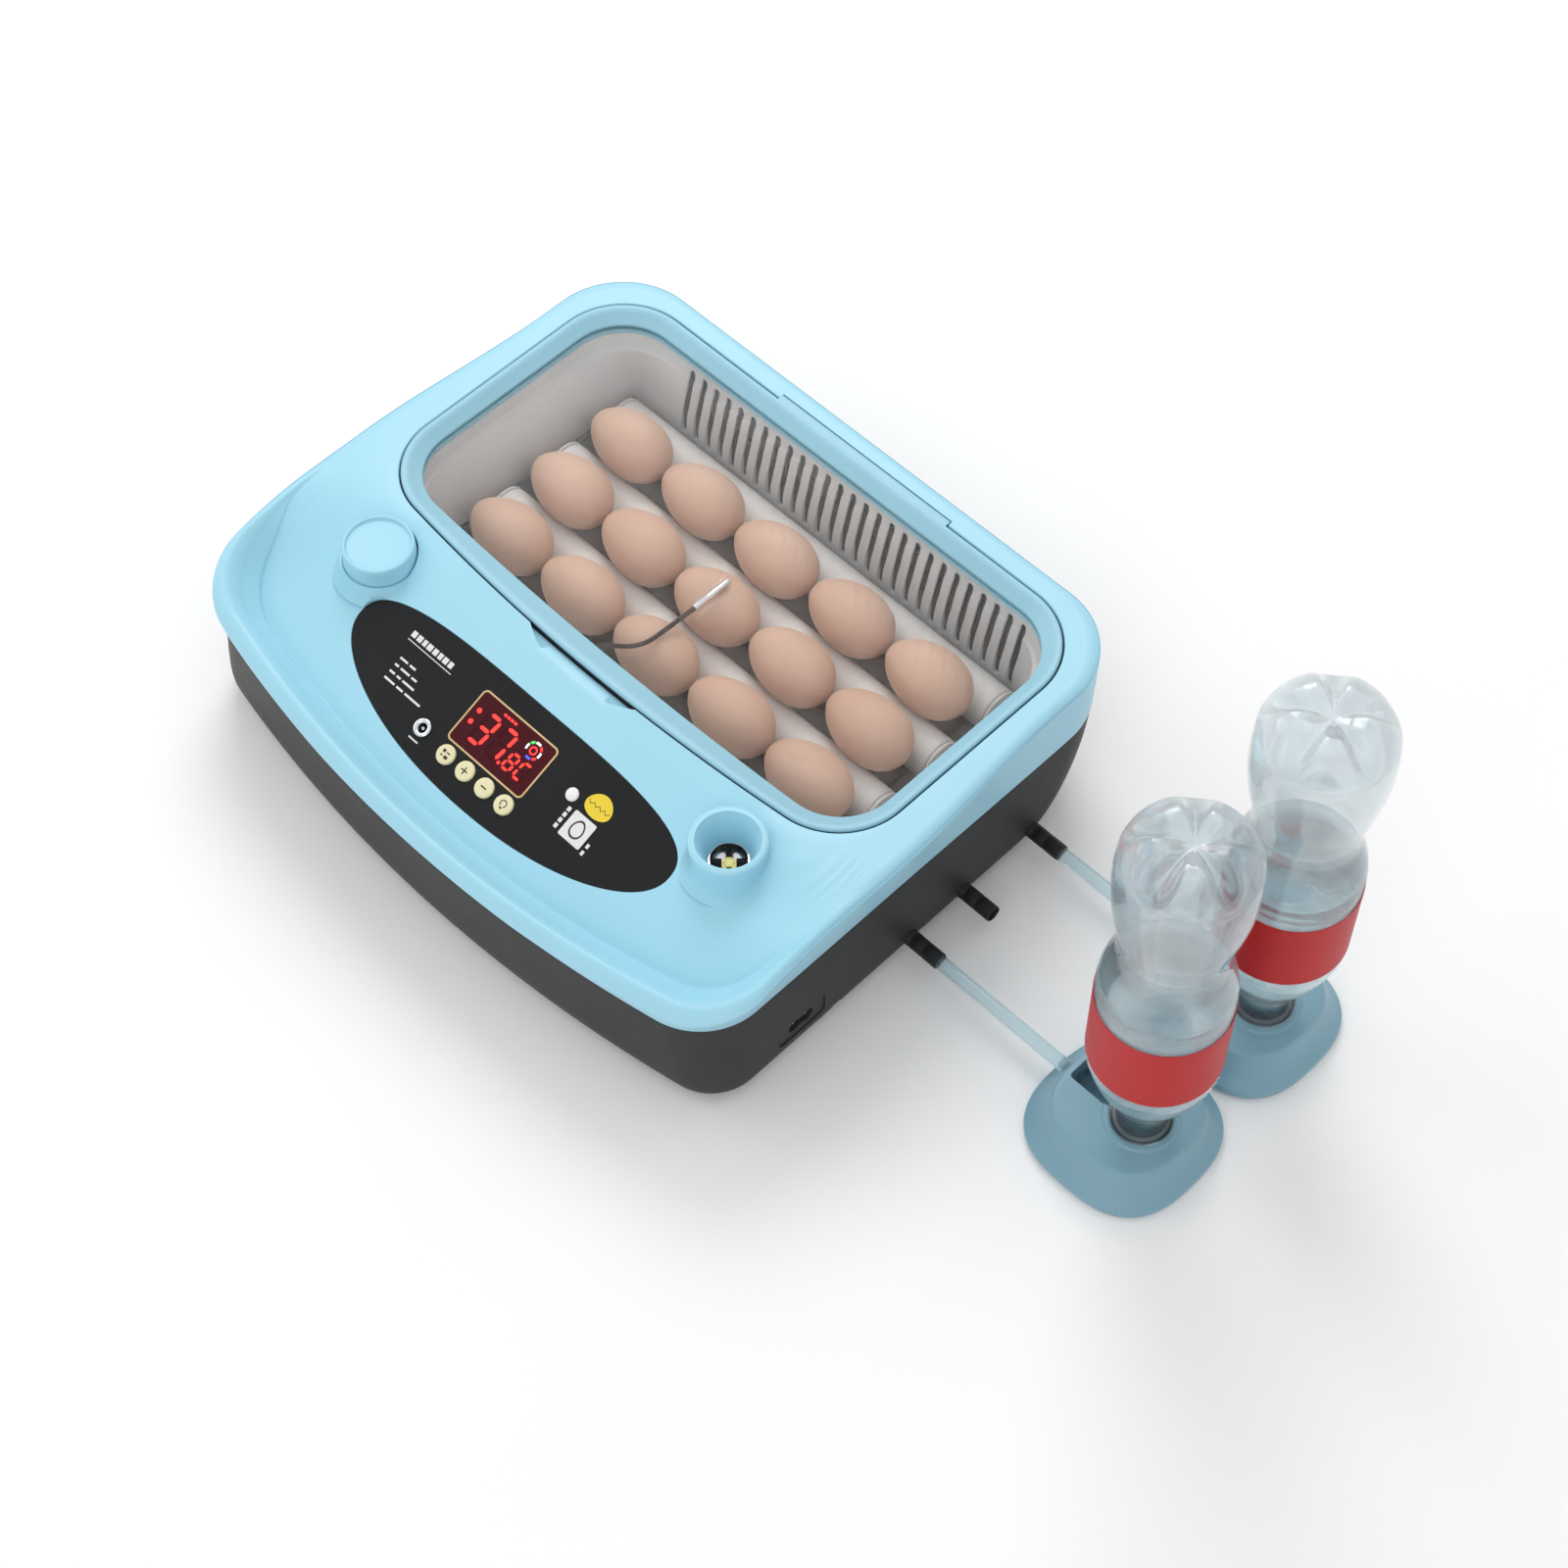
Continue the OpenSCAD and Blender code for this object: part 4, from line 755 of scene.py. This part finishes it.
def build_panel():
    n = 220
    foil = skin([[(x, y, z) for x, y in panel_shape(119.5 - d, 34.2 - d, n)] for z,
                 d in ((-0.75, 0), (-0.12, 0), (-0.05, 0.12), (-0.05, 0.3))])
    ob = piece("panel_foil", xform(foil, PANEL), "foil", None)
    cuts = [xform(rod(5.95, -5, 5, 64), m) for m in BUTTONS]
    cuts += [xform(rod(4.1, -5, 5, 48), JACK), xform(rod(2.6, -5, 5, 48), LAMP)]
    carve(ob, cuts, "DIFFERENCE", 30)
    ride(ob, "case", ["panel_overlay"])

    outer, inner = rounded(57.4, 33.4, 3.2, 10), rounded(55.4, 31.4, 2.3, 10)
    bez = skin([[(x, y, -0.05) for x, y in outer], [(x, y, 0.3) for x, y in outer],
                [(x, y, 0.45) for x, y in rounded(57.0, 33.0, 3.0, 10)],
                [(x, y, 0.45) for x, y in rounded(55.8, 31.8, 2.5, 10)], [(x, y, 0.3) for x, y in inner],
                [(x, y, -0.05) for x, y in inner]], closed=True)
    piece("display_border", xform(bez, DISPLAY), "gold", "case", ["display_bezel"])
    piece("display_window", xform(prism(rounded(55.3, 31.3, 2.2, 10), -0.05, 0.22), DISPLAY), "display",
          "case", ["display_lens"], angle=30)

    def seg_digit(cx, cy, w, h, t, on, slant=0.12):
        place = {"a": (0, h / 2, 0), "b": (w / 2, h / 4, 1), "c": (w / 2, -h / 4, 1), "d": (0, -h / 2, 0),
                 "e": (-w / 2, -h / 4, 1),
                 "f": (-w / 2, h / 4, 1), "g": (0, 0, 0)}
        lit, dim = [], []
        for k, (x, y, vert) in place.items():
            half = (h / 4 if vert else w / 2) - t * 0.32
            hexa = [(-half, 0), (-half + t / 2, -t / 2), (half - t / 2, -t / 2), (half, 0),
                    (half - t / 2, t / 2), (-half + t / 2, t / 2)]
            pts = [(x - q, y + p) if vert else (x + p, y + q) for p, q in hexa]
            pts = [(cx + p + slant * q, cy + q) for p, q in pts]
            (lit if k in on else dim).append(pts)
        return lit, dim

    lit, dim = [], []
    for cx, cy, w, h, t, on in ((-13.6, -0.6, 8.0, 17.5, 2.1, "abcdg"), (-0.6, -0.6, 8.0, 17.5, 2.1, "abc"),
                                (10.6, -4.6, 5.2, 9.6, 1.5, "abcdefg"),
                                (19.2, -4.6, 5.2, 9.6, 1.5, "adef")):
        a, b = seg_digit(cx, cy, w, h, t, on)
        lit += a
        dim += b
    lit += [circle(1.0, 20, 5.1, -9.0), circle(1.5, 24, -23.2, 5.2), circle(1.5, 24, -23.2, -2.0)]
    lit += [rect(-9.5 + 2.6 * i, 12.3, 1.9, 1.5) for i in range(4)]
    marks("display_lit_segments", lit, "red", DISPLAY, 0.23, 0.36)
    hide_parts("display_digits")
    marks("display_unlit_segments", dim, "off", DISPLAY, 0.23, 0.27)
    c = (16.4, 7.6)
    marks("display_ring_white", ring_pieces(*c, 4.6, 1.3, [(70, 110), (160, 200), (-20, 20)]), "lit",
          DISPLAY, 0.23, 0.3)
    marks("display_ring_green", ring_pieces(*c, 4.6, 1.3, [(118, 150)]), "green", DISPLAY, 0.23, 0.3)
    marks("display_ring_blue", ring_pieces(*c, 4.6, 1.4, [(250, 290)]), "violet", DISPLAY, 0.23, 0.3)
    marks("display_ring_red", ring_pieces(*c, 2.0, 0.9, [(0, 359)], 24) + ring_pieces(*c, 4.6, 1.3,
                                                                                      [(30, 60),
                                                                                       (300, 330)]), "red",
          DISPLAY, 0.23, 0.3)

    # Printed marks: plain bars stand where words would be
    top = on_slope(-70, -90)
    bars = []
    x = -18.4
    for w, g in ((3.2, 1.0), (3.4, 1.0), (2.6, 0.9), (3.6, 1.0), (3.2, 1.0), (2.8, 0.9), (3.3, 1.0),
                 (3.0, 1.0)):
        bars.append(rect(x + w / 2, 1.2, w, 3.6))
        x += w + g
    bars.append(rect(-1.5, -2.6, 34, 0.5))
    marks("panel_title_bars", bars, "white", top)
    small = []
    for y0, words in ((5.6, (6, 4.5)), (1.2, (3, 7, 4)), (-3.2, (4, 3, 9)), (-7.6, (8, 5, 12))):
        x = -15.5
        for w in words:
            small.append(rect(x + w / 2, y0, w, 1.2))
            x += w + 1.6
    marks("panel_small_bars", small, "white", on_slope(-69, -107))
    marks("jack_caption_bar", [rect(0, -8.0, 7, 0.9)], "white", JACK)

    stick = on_slope(61, -109)
    tag = rounded(15.6, 15.6, 1.0, 4)
    marks("sticker_tile", [tag], "white", stick, 0.0, 0.06)
    egg = [(4.3 * math.cos(a) * (1 - 0.14 * math.sin(a)),
            5.4 * math.sin(a)) for a in [2 * math.pi * i / 48 for i in range(48)]]
    inner_egg = [(0.78 * x, 0.78 * y) for x, y in egg]
    marks("sticker_egg_line", [[egg[i], egg[(i + 1) % 48], inner_egg[(i + 1) % 48],
                                inner_egg[i]] for i in range(48)], "ink", stick, 0.06, 0.09)
    side = [rect(-11.2, 5.4 - 3.6 * i, 2.2, 2.6) for i in range(4)] + [rect(10.6, -3 - 4.4 * i, 1.8,
                                                                            2.6) for i in range(2)]
    marks("sticker_side_bars", side, "white", stick)
    hen = on_slope(62.5, -94.6)
    body = [(8.6 * math.cos(a) * (1 - 0.16 * math.sin(a)),
             6.8 * math.sin(a) + 0.6) for a in [2 * math.pi * i / 60 for i in range(60)]]
    marks("egg_badge", [body], "yellow", hen, 0.0, 0.10)
    crack = []
    for i in range(8):
        x0, x1 = -7.4 + 1.85 * i, -7.4 + 1.85 * (i + 1)
        y0, y1 = (-0.9, 0.9) if i % 2 else (0.9, -0.9)
        crack.append([(x0, y0 - 0.25), (x1, y1 - 0.25), (x1, y1 + 0.25), (x0, y0 + 0.25)])
    marks("egg_badge_crack", crack, "ink", hen, 0.10, 0.13)

    # Push buttons: crowned caps with printed signs
    signs = {
        0: [rect(-1.6, 1.3, 1.8, 1.8), rect(1.4, 1.3, 2.4, 0.7), rect(-1.6, -1.4, 1.8, 0.7),
            rect(1.4, -1.4, 2.4, 1.8)],
        1: [rect(0, 0, 4.4, 0.75), rect(0, 0, 0.75, 4.4)],
        2: [rect(0, 0, 4.0, 0.8)],
        3: ring_pieces(0, 0.4, 1.9, 0.6, [(-60, 240)], 20) + [rect(0, -2.2, 1.6, 1.0)],
    }
    for i, m in enumerate(BUTTONS):
        prof = [(0, -5.4), (5.6, -5.4), (5.6, 0.7), (5.45, 1.05), (5.1, 1.25), (4.0, 1.32), (2.0, 1.36),
                (0, 1.38)]
        body_name = "push_button_%d" % (i + 1)
        piece("button_cap_%d" % (i + 1), xform(lathe(prof, 72), m), "cream", body_name,
              ["button_%d" % (i + 1)], angle=50)
        marks("button_sign_%d" % (i + 1), signs[i], "ink", m, 1.33, 1.42, body_name)
    lamp = [(2.6, -6), (2.6, -0.05), (3.8, -0.05), (3.8, 0.3), (3.4, 0.75), (2.2, 1.05), (0, 1.15)]
    piece("lamp_lens", xform(lathe([(0, -6)] + lamp, 64), LAMP), "lamp", "case",
          ["indicator_lamp"], angle=50)
    jack = [(2.9, -7), (3.9, -7), (3.9, -0.05), (5.3, -0.05), (5.3, 0.9), (4.9, 1.4), (4.2, 1.55),
            (3.4, 1.4), (2.9, 0.9)]
    piece("jack_barrel", xform(lathe(jack, 64, closed=True), JACK), "chrome", "case",
          ["dc_jack"], angle=50)
    piece("jack_bottom", xform(rod(3.4, -7.2, -6.4, 48), JACK), "tray", "case")
    piece("jack_pin", xform(lathe([(0, -7), (0.9, -7), (0.9, -0.4), (0.6, 0), (0, 0.1)], 32), JACK),
          "steel", "case")


build_panel()


# ------------------------------------------------- vent plug and candler
def build_fittings():
    prof = [(0, 105.4), (17.6, 105.4), (17.6, 97.9), (20.2, 97.9), (20.15, 99), (19.9, 107.8),
            (19.7, 109.1), (19.3, 109.75), (18.8, 110), (18.3, 109.95),
            (17.9, 109.6), (17.7, 109.0), (17.55, 108.5), (17.3, 108.25), (16.8, 108.2), (0, 108.2)]
    piece("vent_plug_cap", xform(lathe(prof, 120), at(*VENT, 0)), "blue", "vent_plug",
          ["vent_cap"], angle=50)
    stem = [(7, 86), (9, 86), (9, 105.6), (7, 105.6)]
    piece("vent_plug_stem", xform(lathe(stem, 72, closed=True), at(*VENT, 0)), "blue", "vent_plug")
    refl = [(0, 84.5), (10.6, 84.5), (10.6, 91.2), (9.9, 91.2), (9.4, 89.5), (8.2, 87.4), (6.4, 86.4),
            (0, 86.1)]
    piece("candler_bowl", xform(lathe(refl, 96), at(*CUP, 0)), "chrome", "case",
          ["candler_reflector"], angle=60)
    spokes = []
    for a in range(45, 360, 90):
        spokes.append(xform(block(3.8, 10.4, -1.4, 1.4, 86.2, 90.4),
                            at(*CUP, 0) @ Matrix.Rotation(math.radians(a), 4, "Z")))
    piece("candler_spokes", join(*spokes), "tray", "case", bevel=0.4)
    led = join(prism(rounded(7.0, 7.0, 0.6, 4), 86.1, 87.6),
               lathe([(0, 87.5), (3.0, 87.5), (2.7, 88.6), (1.8, 89.1), (0, 89.2)], 48))
    piece("candler_lamp", xform(led, at(*CUP, 0)), "phosphor", "case", ["candler_led"], angle=50)
    plug = piece("inlet_body", xform(prism(rounded(33.4, 17.4, 4.2), 0, 10.9), INLET), "dark", None)
    wells = [xform(rod(4.3, 1.6, 12, 48), INLET @ at(s * 4.4, 0, 0)) for s in (-1, 1)]
    carve(plug, wells + [xform(block(-4.4, 4.4, -3.2, 3.2, 1.6, 12), INLET)], "DIFFERENCE", 40)
    floors = join(*[xform(rod(4.2, 1.7, 2.0, 40), INLET @ at(s * 4.4, 0, 0)) for s in (-1, 1)])
    piece("inlet_wells", floors, "rubber", "case")
    ride(plug, "case", ["power_inlet"])
    pins = join(*[xform(lathe([(0, 1.7), (1.2, 1.7), (1.2, 9.0), (0.8, 9.4), (0, 9.5)], 32),
                        INLET @ at(s * 4.4, 0, 0)) for s in (-1, 1)])
    piece("inlet_contacts", pins, "chrome", "case", ["inlet_pins"], angle=50)


build_fittings()


# ----------------------------------------------------- hoses, stands, bottles
def tube_curve(name, pts, r, mat, body, nodes):
    cu = bpy.data.curves.new(name, "CURVE")
    cu.dimensions = "3D"
    cu.bevel_depth = r * MM
    cu.bevel_resolution = 8
    cu.use_fill_caps = True
    sp = cu.splines.new("POLY")
    sp.points.add(len(pts) - 1)
    for p, q in zip(sp.points, pts):
        p.co = (q[0] * MM, q[1] * MM, q[2] * MM, 1)
    sp.use_smooth = True
    ob = bpy.data.objects.new(name, cu)
    bpy.context.scene.collection.objects.link(ob)
    cu.materials.append(M[mat])
    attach(ob, body)
    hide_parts(*nodes)
    return ob


STAND_X, BOTTLE_X = 351.5, 361.0
STAND_Y = {"front": -4.0, "rear": 91.0}

for key, y in STAND_Y.items():
    line = [(212 + (316 - 212) * i / 24, y, PORT_Z) for i in range(25)]
    hose = tube_curve("feed_hose_" + key, line, 4.0, "hose", "case", ["hose_" + key])

for i, y in enumerate(PORT_Y):
    prof = [(3.3, 180), (4.75, 180), (4.75, 203.2), (4.62, 203.5), (4.62, 204.1), (4.75, 204.4),
            (4.75, 211.2), (4.6, 211.6), (4.6, 212.4), (4.75, 212.8),
            (4.75, 221.6), (4.6, 222.2), (4.3, 222.5), (4.1, 222.5), (3.98, 222.2), (3.98, 209), (3.3, 209)]
    piece("port_sleeve_%d" % (i + 1), xform(lathe(prof, 64, closed=True), along_x(0, y, PORT_Z)), "rubber",
          "case",
          ["port_sleeves"] if i == 0 else (), angle=45)


def build_stand(key, y):
    rows = [(45.4, 44.7, 0, 2.7, 0), (46.4, 45.7, 0.5, 2.7, 0), (47, 46.3, 1.6, 2.7, 0),
            (47, 46.3, 4.2, 2.7, 0), (46.3, 45.6, 5.6, 2.7, 0), (44.8, 44.1, 6.8, 2.7, 0),
            (42.2, 41.5, 10, 2.65, 0.1), (39.4, 38.7, 15.5, 2.6, 0.3), (37.6, 36.8, 21.4, 2.6, 0.5),
            (36.6, 35.8, 24.2, 2.6, 0.5), (35.9, 35.1, 25.2, 2.6, 0.5),
            (34.8, 34, 25.5, 2.6, 0.5)]
    rings = [[(p[0], p[1], z) for p in squircle(STAND_X + dx, y, a, b, e, 160)] for a, b, z, e, dx in rows]
    ob = piece("feeder_stand_" + key, skin(refine(rings, 2)), "stand", None)
    collar = lathe([(0, 20), (20.8, 20), (20.6, 25.5), (19.9, 26.2), (19.3, 26.9), (18.6, 27), (0, 27)], 96)
    carve(ob, [xform(collar, at(BOTTLE_X, y, 0))], "UNION", 30)
    cuts = [xform(lathe([(0, 6), (15.9, 6), (15.9, 26.2), (16.8, 27.2), (16.8, 36), (0, 36)], 96),
                  at(BOTTLE_X, y, 0)),
            xform(prism(rounded(31.5, 16, 2.5, 6, (STAND_X - 32.5 + BOTTLE_X - 10) / 2 - 0.1, y), 7, 40),
                  Matrix.Identity(4)),
            xform(rod(4.02, 0, 40, 48), along_x(STAND_X - 60, y, PORT_Z)),
            prism(squircle(STAND_X, y, 41, 40.3, 2.7, 96), -1, 3)]
    carve(ob, cuts, "DIFFERENCE", 30)
    ride(ob, "case", ["stand_" + key])
    water = prism(rounded(28, 15.6, 2.2, 6, STAND_X - 17, y), 7.1, 16)
    piece("stand_water_" + key, water, "water", "case", angle=30)


BOTTLE_ROWS = [(10, 12.4), (27.1, 12.4), (27.3, 17.4), (29.3, 17.4), (29.7, 13.8), (34, 13.8), (40, 14.2),
               (50, 16.6), (58, 20), (66, 24), (75, 28), (85, 31.3),
               (94, 33.2), (100, 33.9), (152, 33.9), (160, 33.8), (170, 32.4), (180, 29.4), (188, 27.3),
               (195, 26.8), (203, 27.2), (214, 29.2), (228, 32),
               (242, 33.8), (258, 34), (268, 33.2)]


def build_bottle(key, y):
    n = 120
    lobes = 5
    rings = []
    pts = []
    last = len(BOTTLE_ROWS) - 1
    for i in range(last):
        p, q, s, t = BOTTLE_ROWS[max(i - 1, 0)], BOTTLE_ROWS[i], BOTTLE_ROWS[i + 1], BOTTLE_ROWS[min(i + 2,
                                                                                                     last)]
        if i < 6 or s[0] - q[0] < 3:
            pts.append(q)
        else:
            for j in range(4):
                pts.append(catmull(p, q, s, t, j / 4))
    pts.append(BOTTLE_ROWS[-1])
    for z, r in pts:
        rings.append([(min(r, 34.0) * math.cos(2 * math.pi * k / n),
                       min(r, 34.0) * math.sin(2 * math.pi * k / n), z) for k in range(n)])
    foot = [(270.5, 32.6, 0.10), (273.5, 31.2, 0.25), (276.5, 29.4, 0.45), (279.5, 27.2, 0.7),
            (282, 24.6, 0.9), (284, 21.6, 1.0), (285.2, 18.4, 1.0),
            (285.4, 15.2, 0.9), (284.6, 12, 0.7), (283.2, 9, 0.4), (282, 6, 0.15), (281.2, 3, 0.0)]
    for z, r, k in foot:
        ring = []
        for j in range(n):
            a = 2 * math.pi * j / n
            dip = 0.5 - 0.5 * math.cos(lobes * a)
            valley = dip ** 3 * k
            ring.append(((r * (1 - 0.10 * valley)) * math.cos(a), (r * (1 - 0.10 * valley)) * math.sin(a),
                         z - 7.5 * valley * (0.35 + r / 34)))
        rings.append(ring)
    tip = len(rings)
    thick = 0.5
    inner = []
    for ring in rings:
        row = []
        for x, yy, z in ring:
            r = math.hypot(x, yy)
            k = max(0.3, r - thick - (4.0 if 27.2 < z < 29.4 else 0)) / r
            row.append((x * k, yy * k, z - (thick if z > 276 else 0)))
        inner.append(row)
    vs = [p for r in rings for p in r] + [(0, 0, 281.0)]
    fs = []
    for k in range(tip - 1):
        fs += [(k * n + i, k * n + (i + 1) % n, (k + 1) * n + (i + 1) % n,
                (k + 1) * n + i) for i in range(n)]
    fs += [((tip - 1) * n + i, (tip - 1) * n + (i + 1) % n, tip * n) for i in range(n)]
    off = len(vs)
    vs += [p for r in inner for p in r] + [(0, 0, 281.0 - thick)]
    for k in range(tip - 1):
        fs += [(off + k * n + i, off + (k + 1) * n + i, off + (k + 1) * n + (i + 1) % n,
                off + k * n + (i + 1) % n) for i in range(n)]
    fs += [(off + (tip - 1) * n + (i + 1) % n, off + (tip - 1) * n + i, off + tip * n) for i in range(n)]
    fs += [(i, off + i, off + (i + 1) % n, (i + 1) % n) for i in range(n)]
    turn = Matrix.Rotation(math.radians(20), 4, "Z")
    piece("bottle_wall_" + key, xform((vs, fs), at(BOTTLE_X, y, 0) @ turn), "bottle", "bottle_set_" + key,
          ["bottle_" + key], angle=60)
    level = 166.0
    wet = [(0, 12)] + [(r - thick - 0.15, z) for z, r in pts if z < level and not 27.2 < z < 29.5]
    wet[1] = (wet[1][0], 12)
    wet += [(32.6, level - 0.8), (32.2, level), (0, level)]
    piece("bottle_water_" + key, xform(lathe(wet, 96), at(BOTTLE_X, y, 0)), "water", "bottle_set_" + key,
          angle=50)
    lab = [(34.02, 101), (34.3, 101.1), (34.3, 150.9), (34.02, 151)]
    piece("bottle_label_" + key, xform(lathe(lab, 120, closed=True), at(BOTTLE_X, y, 0)), "label",
          "bottle_set_" + key, ["label_" + key], angle=50)
    cn = 96
    vs, fs = [], []
    prof = [(3.0, 7.0), (14.2, 7.0), (14.9, 7.7), (15.0, 9), (15.0, 25.4), (14.6, 26.6), (12.6, 26.8),
            (12.6, 9.6), (3.0, 9.6)]
    for r, z in prof:
        for i in range(cn):
            a = 2 * math.pi * i / cn
            rr = r + (0.2 if r > 14.8 and i % 2 else 0)
            vs.append((rr * math.cos(a), rr * math.sin(a), z))
    m = len(prof)
    for k in range(m):
        k2 = (k + 1) % m
        fs += [(k * cn + i, k * cn + (i + 1) % cn, k2 * cn + (i + 1) % cn, k2 * cn + i) for i in range(cn)]
    piece("bottle_cap_" + key, xform((vs, fs), at(BOTTLE_X, y, 0)), "cap", "bottle_set_" + key,
          ["cap_" + key], angle=30)


for key, y in STAND_Y.items():
    build_stand(key, y)
    build_bottle(key, y)


# ----------------------------------------------------------- probe and lead
LEAD = [(-22, -38, 78), (-21, -33, 79.5), (-16.5, -26, 84.5), (-8.3, -18.8, 87.2), (-0.8, -12.6, 88),
        (3.6, -4.6, 88),
        (4.6, 7.7, 87.6), (4.9, 18.6, 87.6), (5.4, 29.4, 87.7)]


def smooth_line(pts, m):
    out = []
    last = len(pts) - 1
    for i in range(last):
        p, q, s, t = pts[max(i - 1, 0)], pts[i], pts[i + 1], pts[min(i + 2, last)]
        out += [catmull(p, q, s, t, j / m) for j in range(m)]
    return out + [pts[-1]]


lead_line = smooth_line(LEAD, 6)
lead = tube_curve("probe_lead", lead_line, 1.3, "rubber", "case", ["probe_wire"])
tip = piece("probe_sleeve", xform(lathe([(0, 0), (1.5, 0), (1.9, 0.5), (1.9, 25.2), (1.5, 26.1),
                                         (0.8, 26.5), (0, 26.5)], 48), along_y(5.4, 29.4, 87.7)),
            "chrome", "case", ["probe_tip"], angle=50)

# ------------------------------------------------ CAD pieces shown as built
for names, mat in (("water_tray roller_frame fan_housing", "tray"), ("fan_rotor lid_gasket", "rubber"),
                   ("turner_motor heater case_screws hinge_pin axle_1 axle_2 axle_3 axle_4", "steel"),
                   ("control_board", "board"), ("idler_1 idler_2 idler_3 pinion", "nylon")):
    for node in names.split():
        slots = NODES[node].data.materials
        slots.clear()
        slots.append(M[mat])


# ------------------------------------------------------------ floor, lights
def build_stage():
    me = bpy.data.meshes.new("floor")
    s = 6.0
    me.from_pydata([(-s, -s, -0.0006), (s, -s, -0.0006), (s, s, -0.0006), (-s, s, -0.0006)], [],
                   [(0, 1, 2, 3)])
    ob = bpy.data.objects.new("floor", me)
    bpy.context.scene.collection.objects.link(ob)
    m, nt, b = new_mat("floor_white")
    nt.links.new(ramp(nt, noise(nt, 3.0, 2.0), [(0.3, (0.93, 0.93, 0.93)), (0.7, (0.96, 0.96, 0.96))]),
                 b.inputs["Base Color"])
    b.inputs["Roughness"].default_value = 0.9
    me.materials.append(m)


def area(name, loc, target, size, power):
    li = bpy.data.lights.new(name, "AREA")
    li.shape = "DISK"
    li.size = size
    li.energy = power
    ob = bpy.data.objects.new(name, li)
    bpy.context.scene.collection.objects.link(ob)
    ob.location = loc
    ob.rotation_euler = (Vector(target) - Vector(loc)).to_track_quat("-Z", "Y").to_euler()


build_stage()
area("key_light", (-0.95, 1.05, 1.75), (0.05, 0.0, 0.05), 1.2, 17)
area("fill_light", (-1.7, -0.6, 1.4), (0.0, 0.0, 0.05), 1.4, 6)
area("front_light", (0.9, -1.9, 1.0), (0.1, 0.0, 0.05), 1.4, 6)
world = bpy.data.worlds.new("studio")
world.use_nodes = True
world.node_tree.nodes["Background"].inputs["Color"].default_value = (1, 1, 1, 1)
world.node_tree.nodes["Background"].inputs["Strength"].default_value = 0.78
bpy.context.scene.world = world
bpy.context.scene.view_settings.view_transform = "Standard"
bpy.context.scene.view_settings.exposure = 0.0
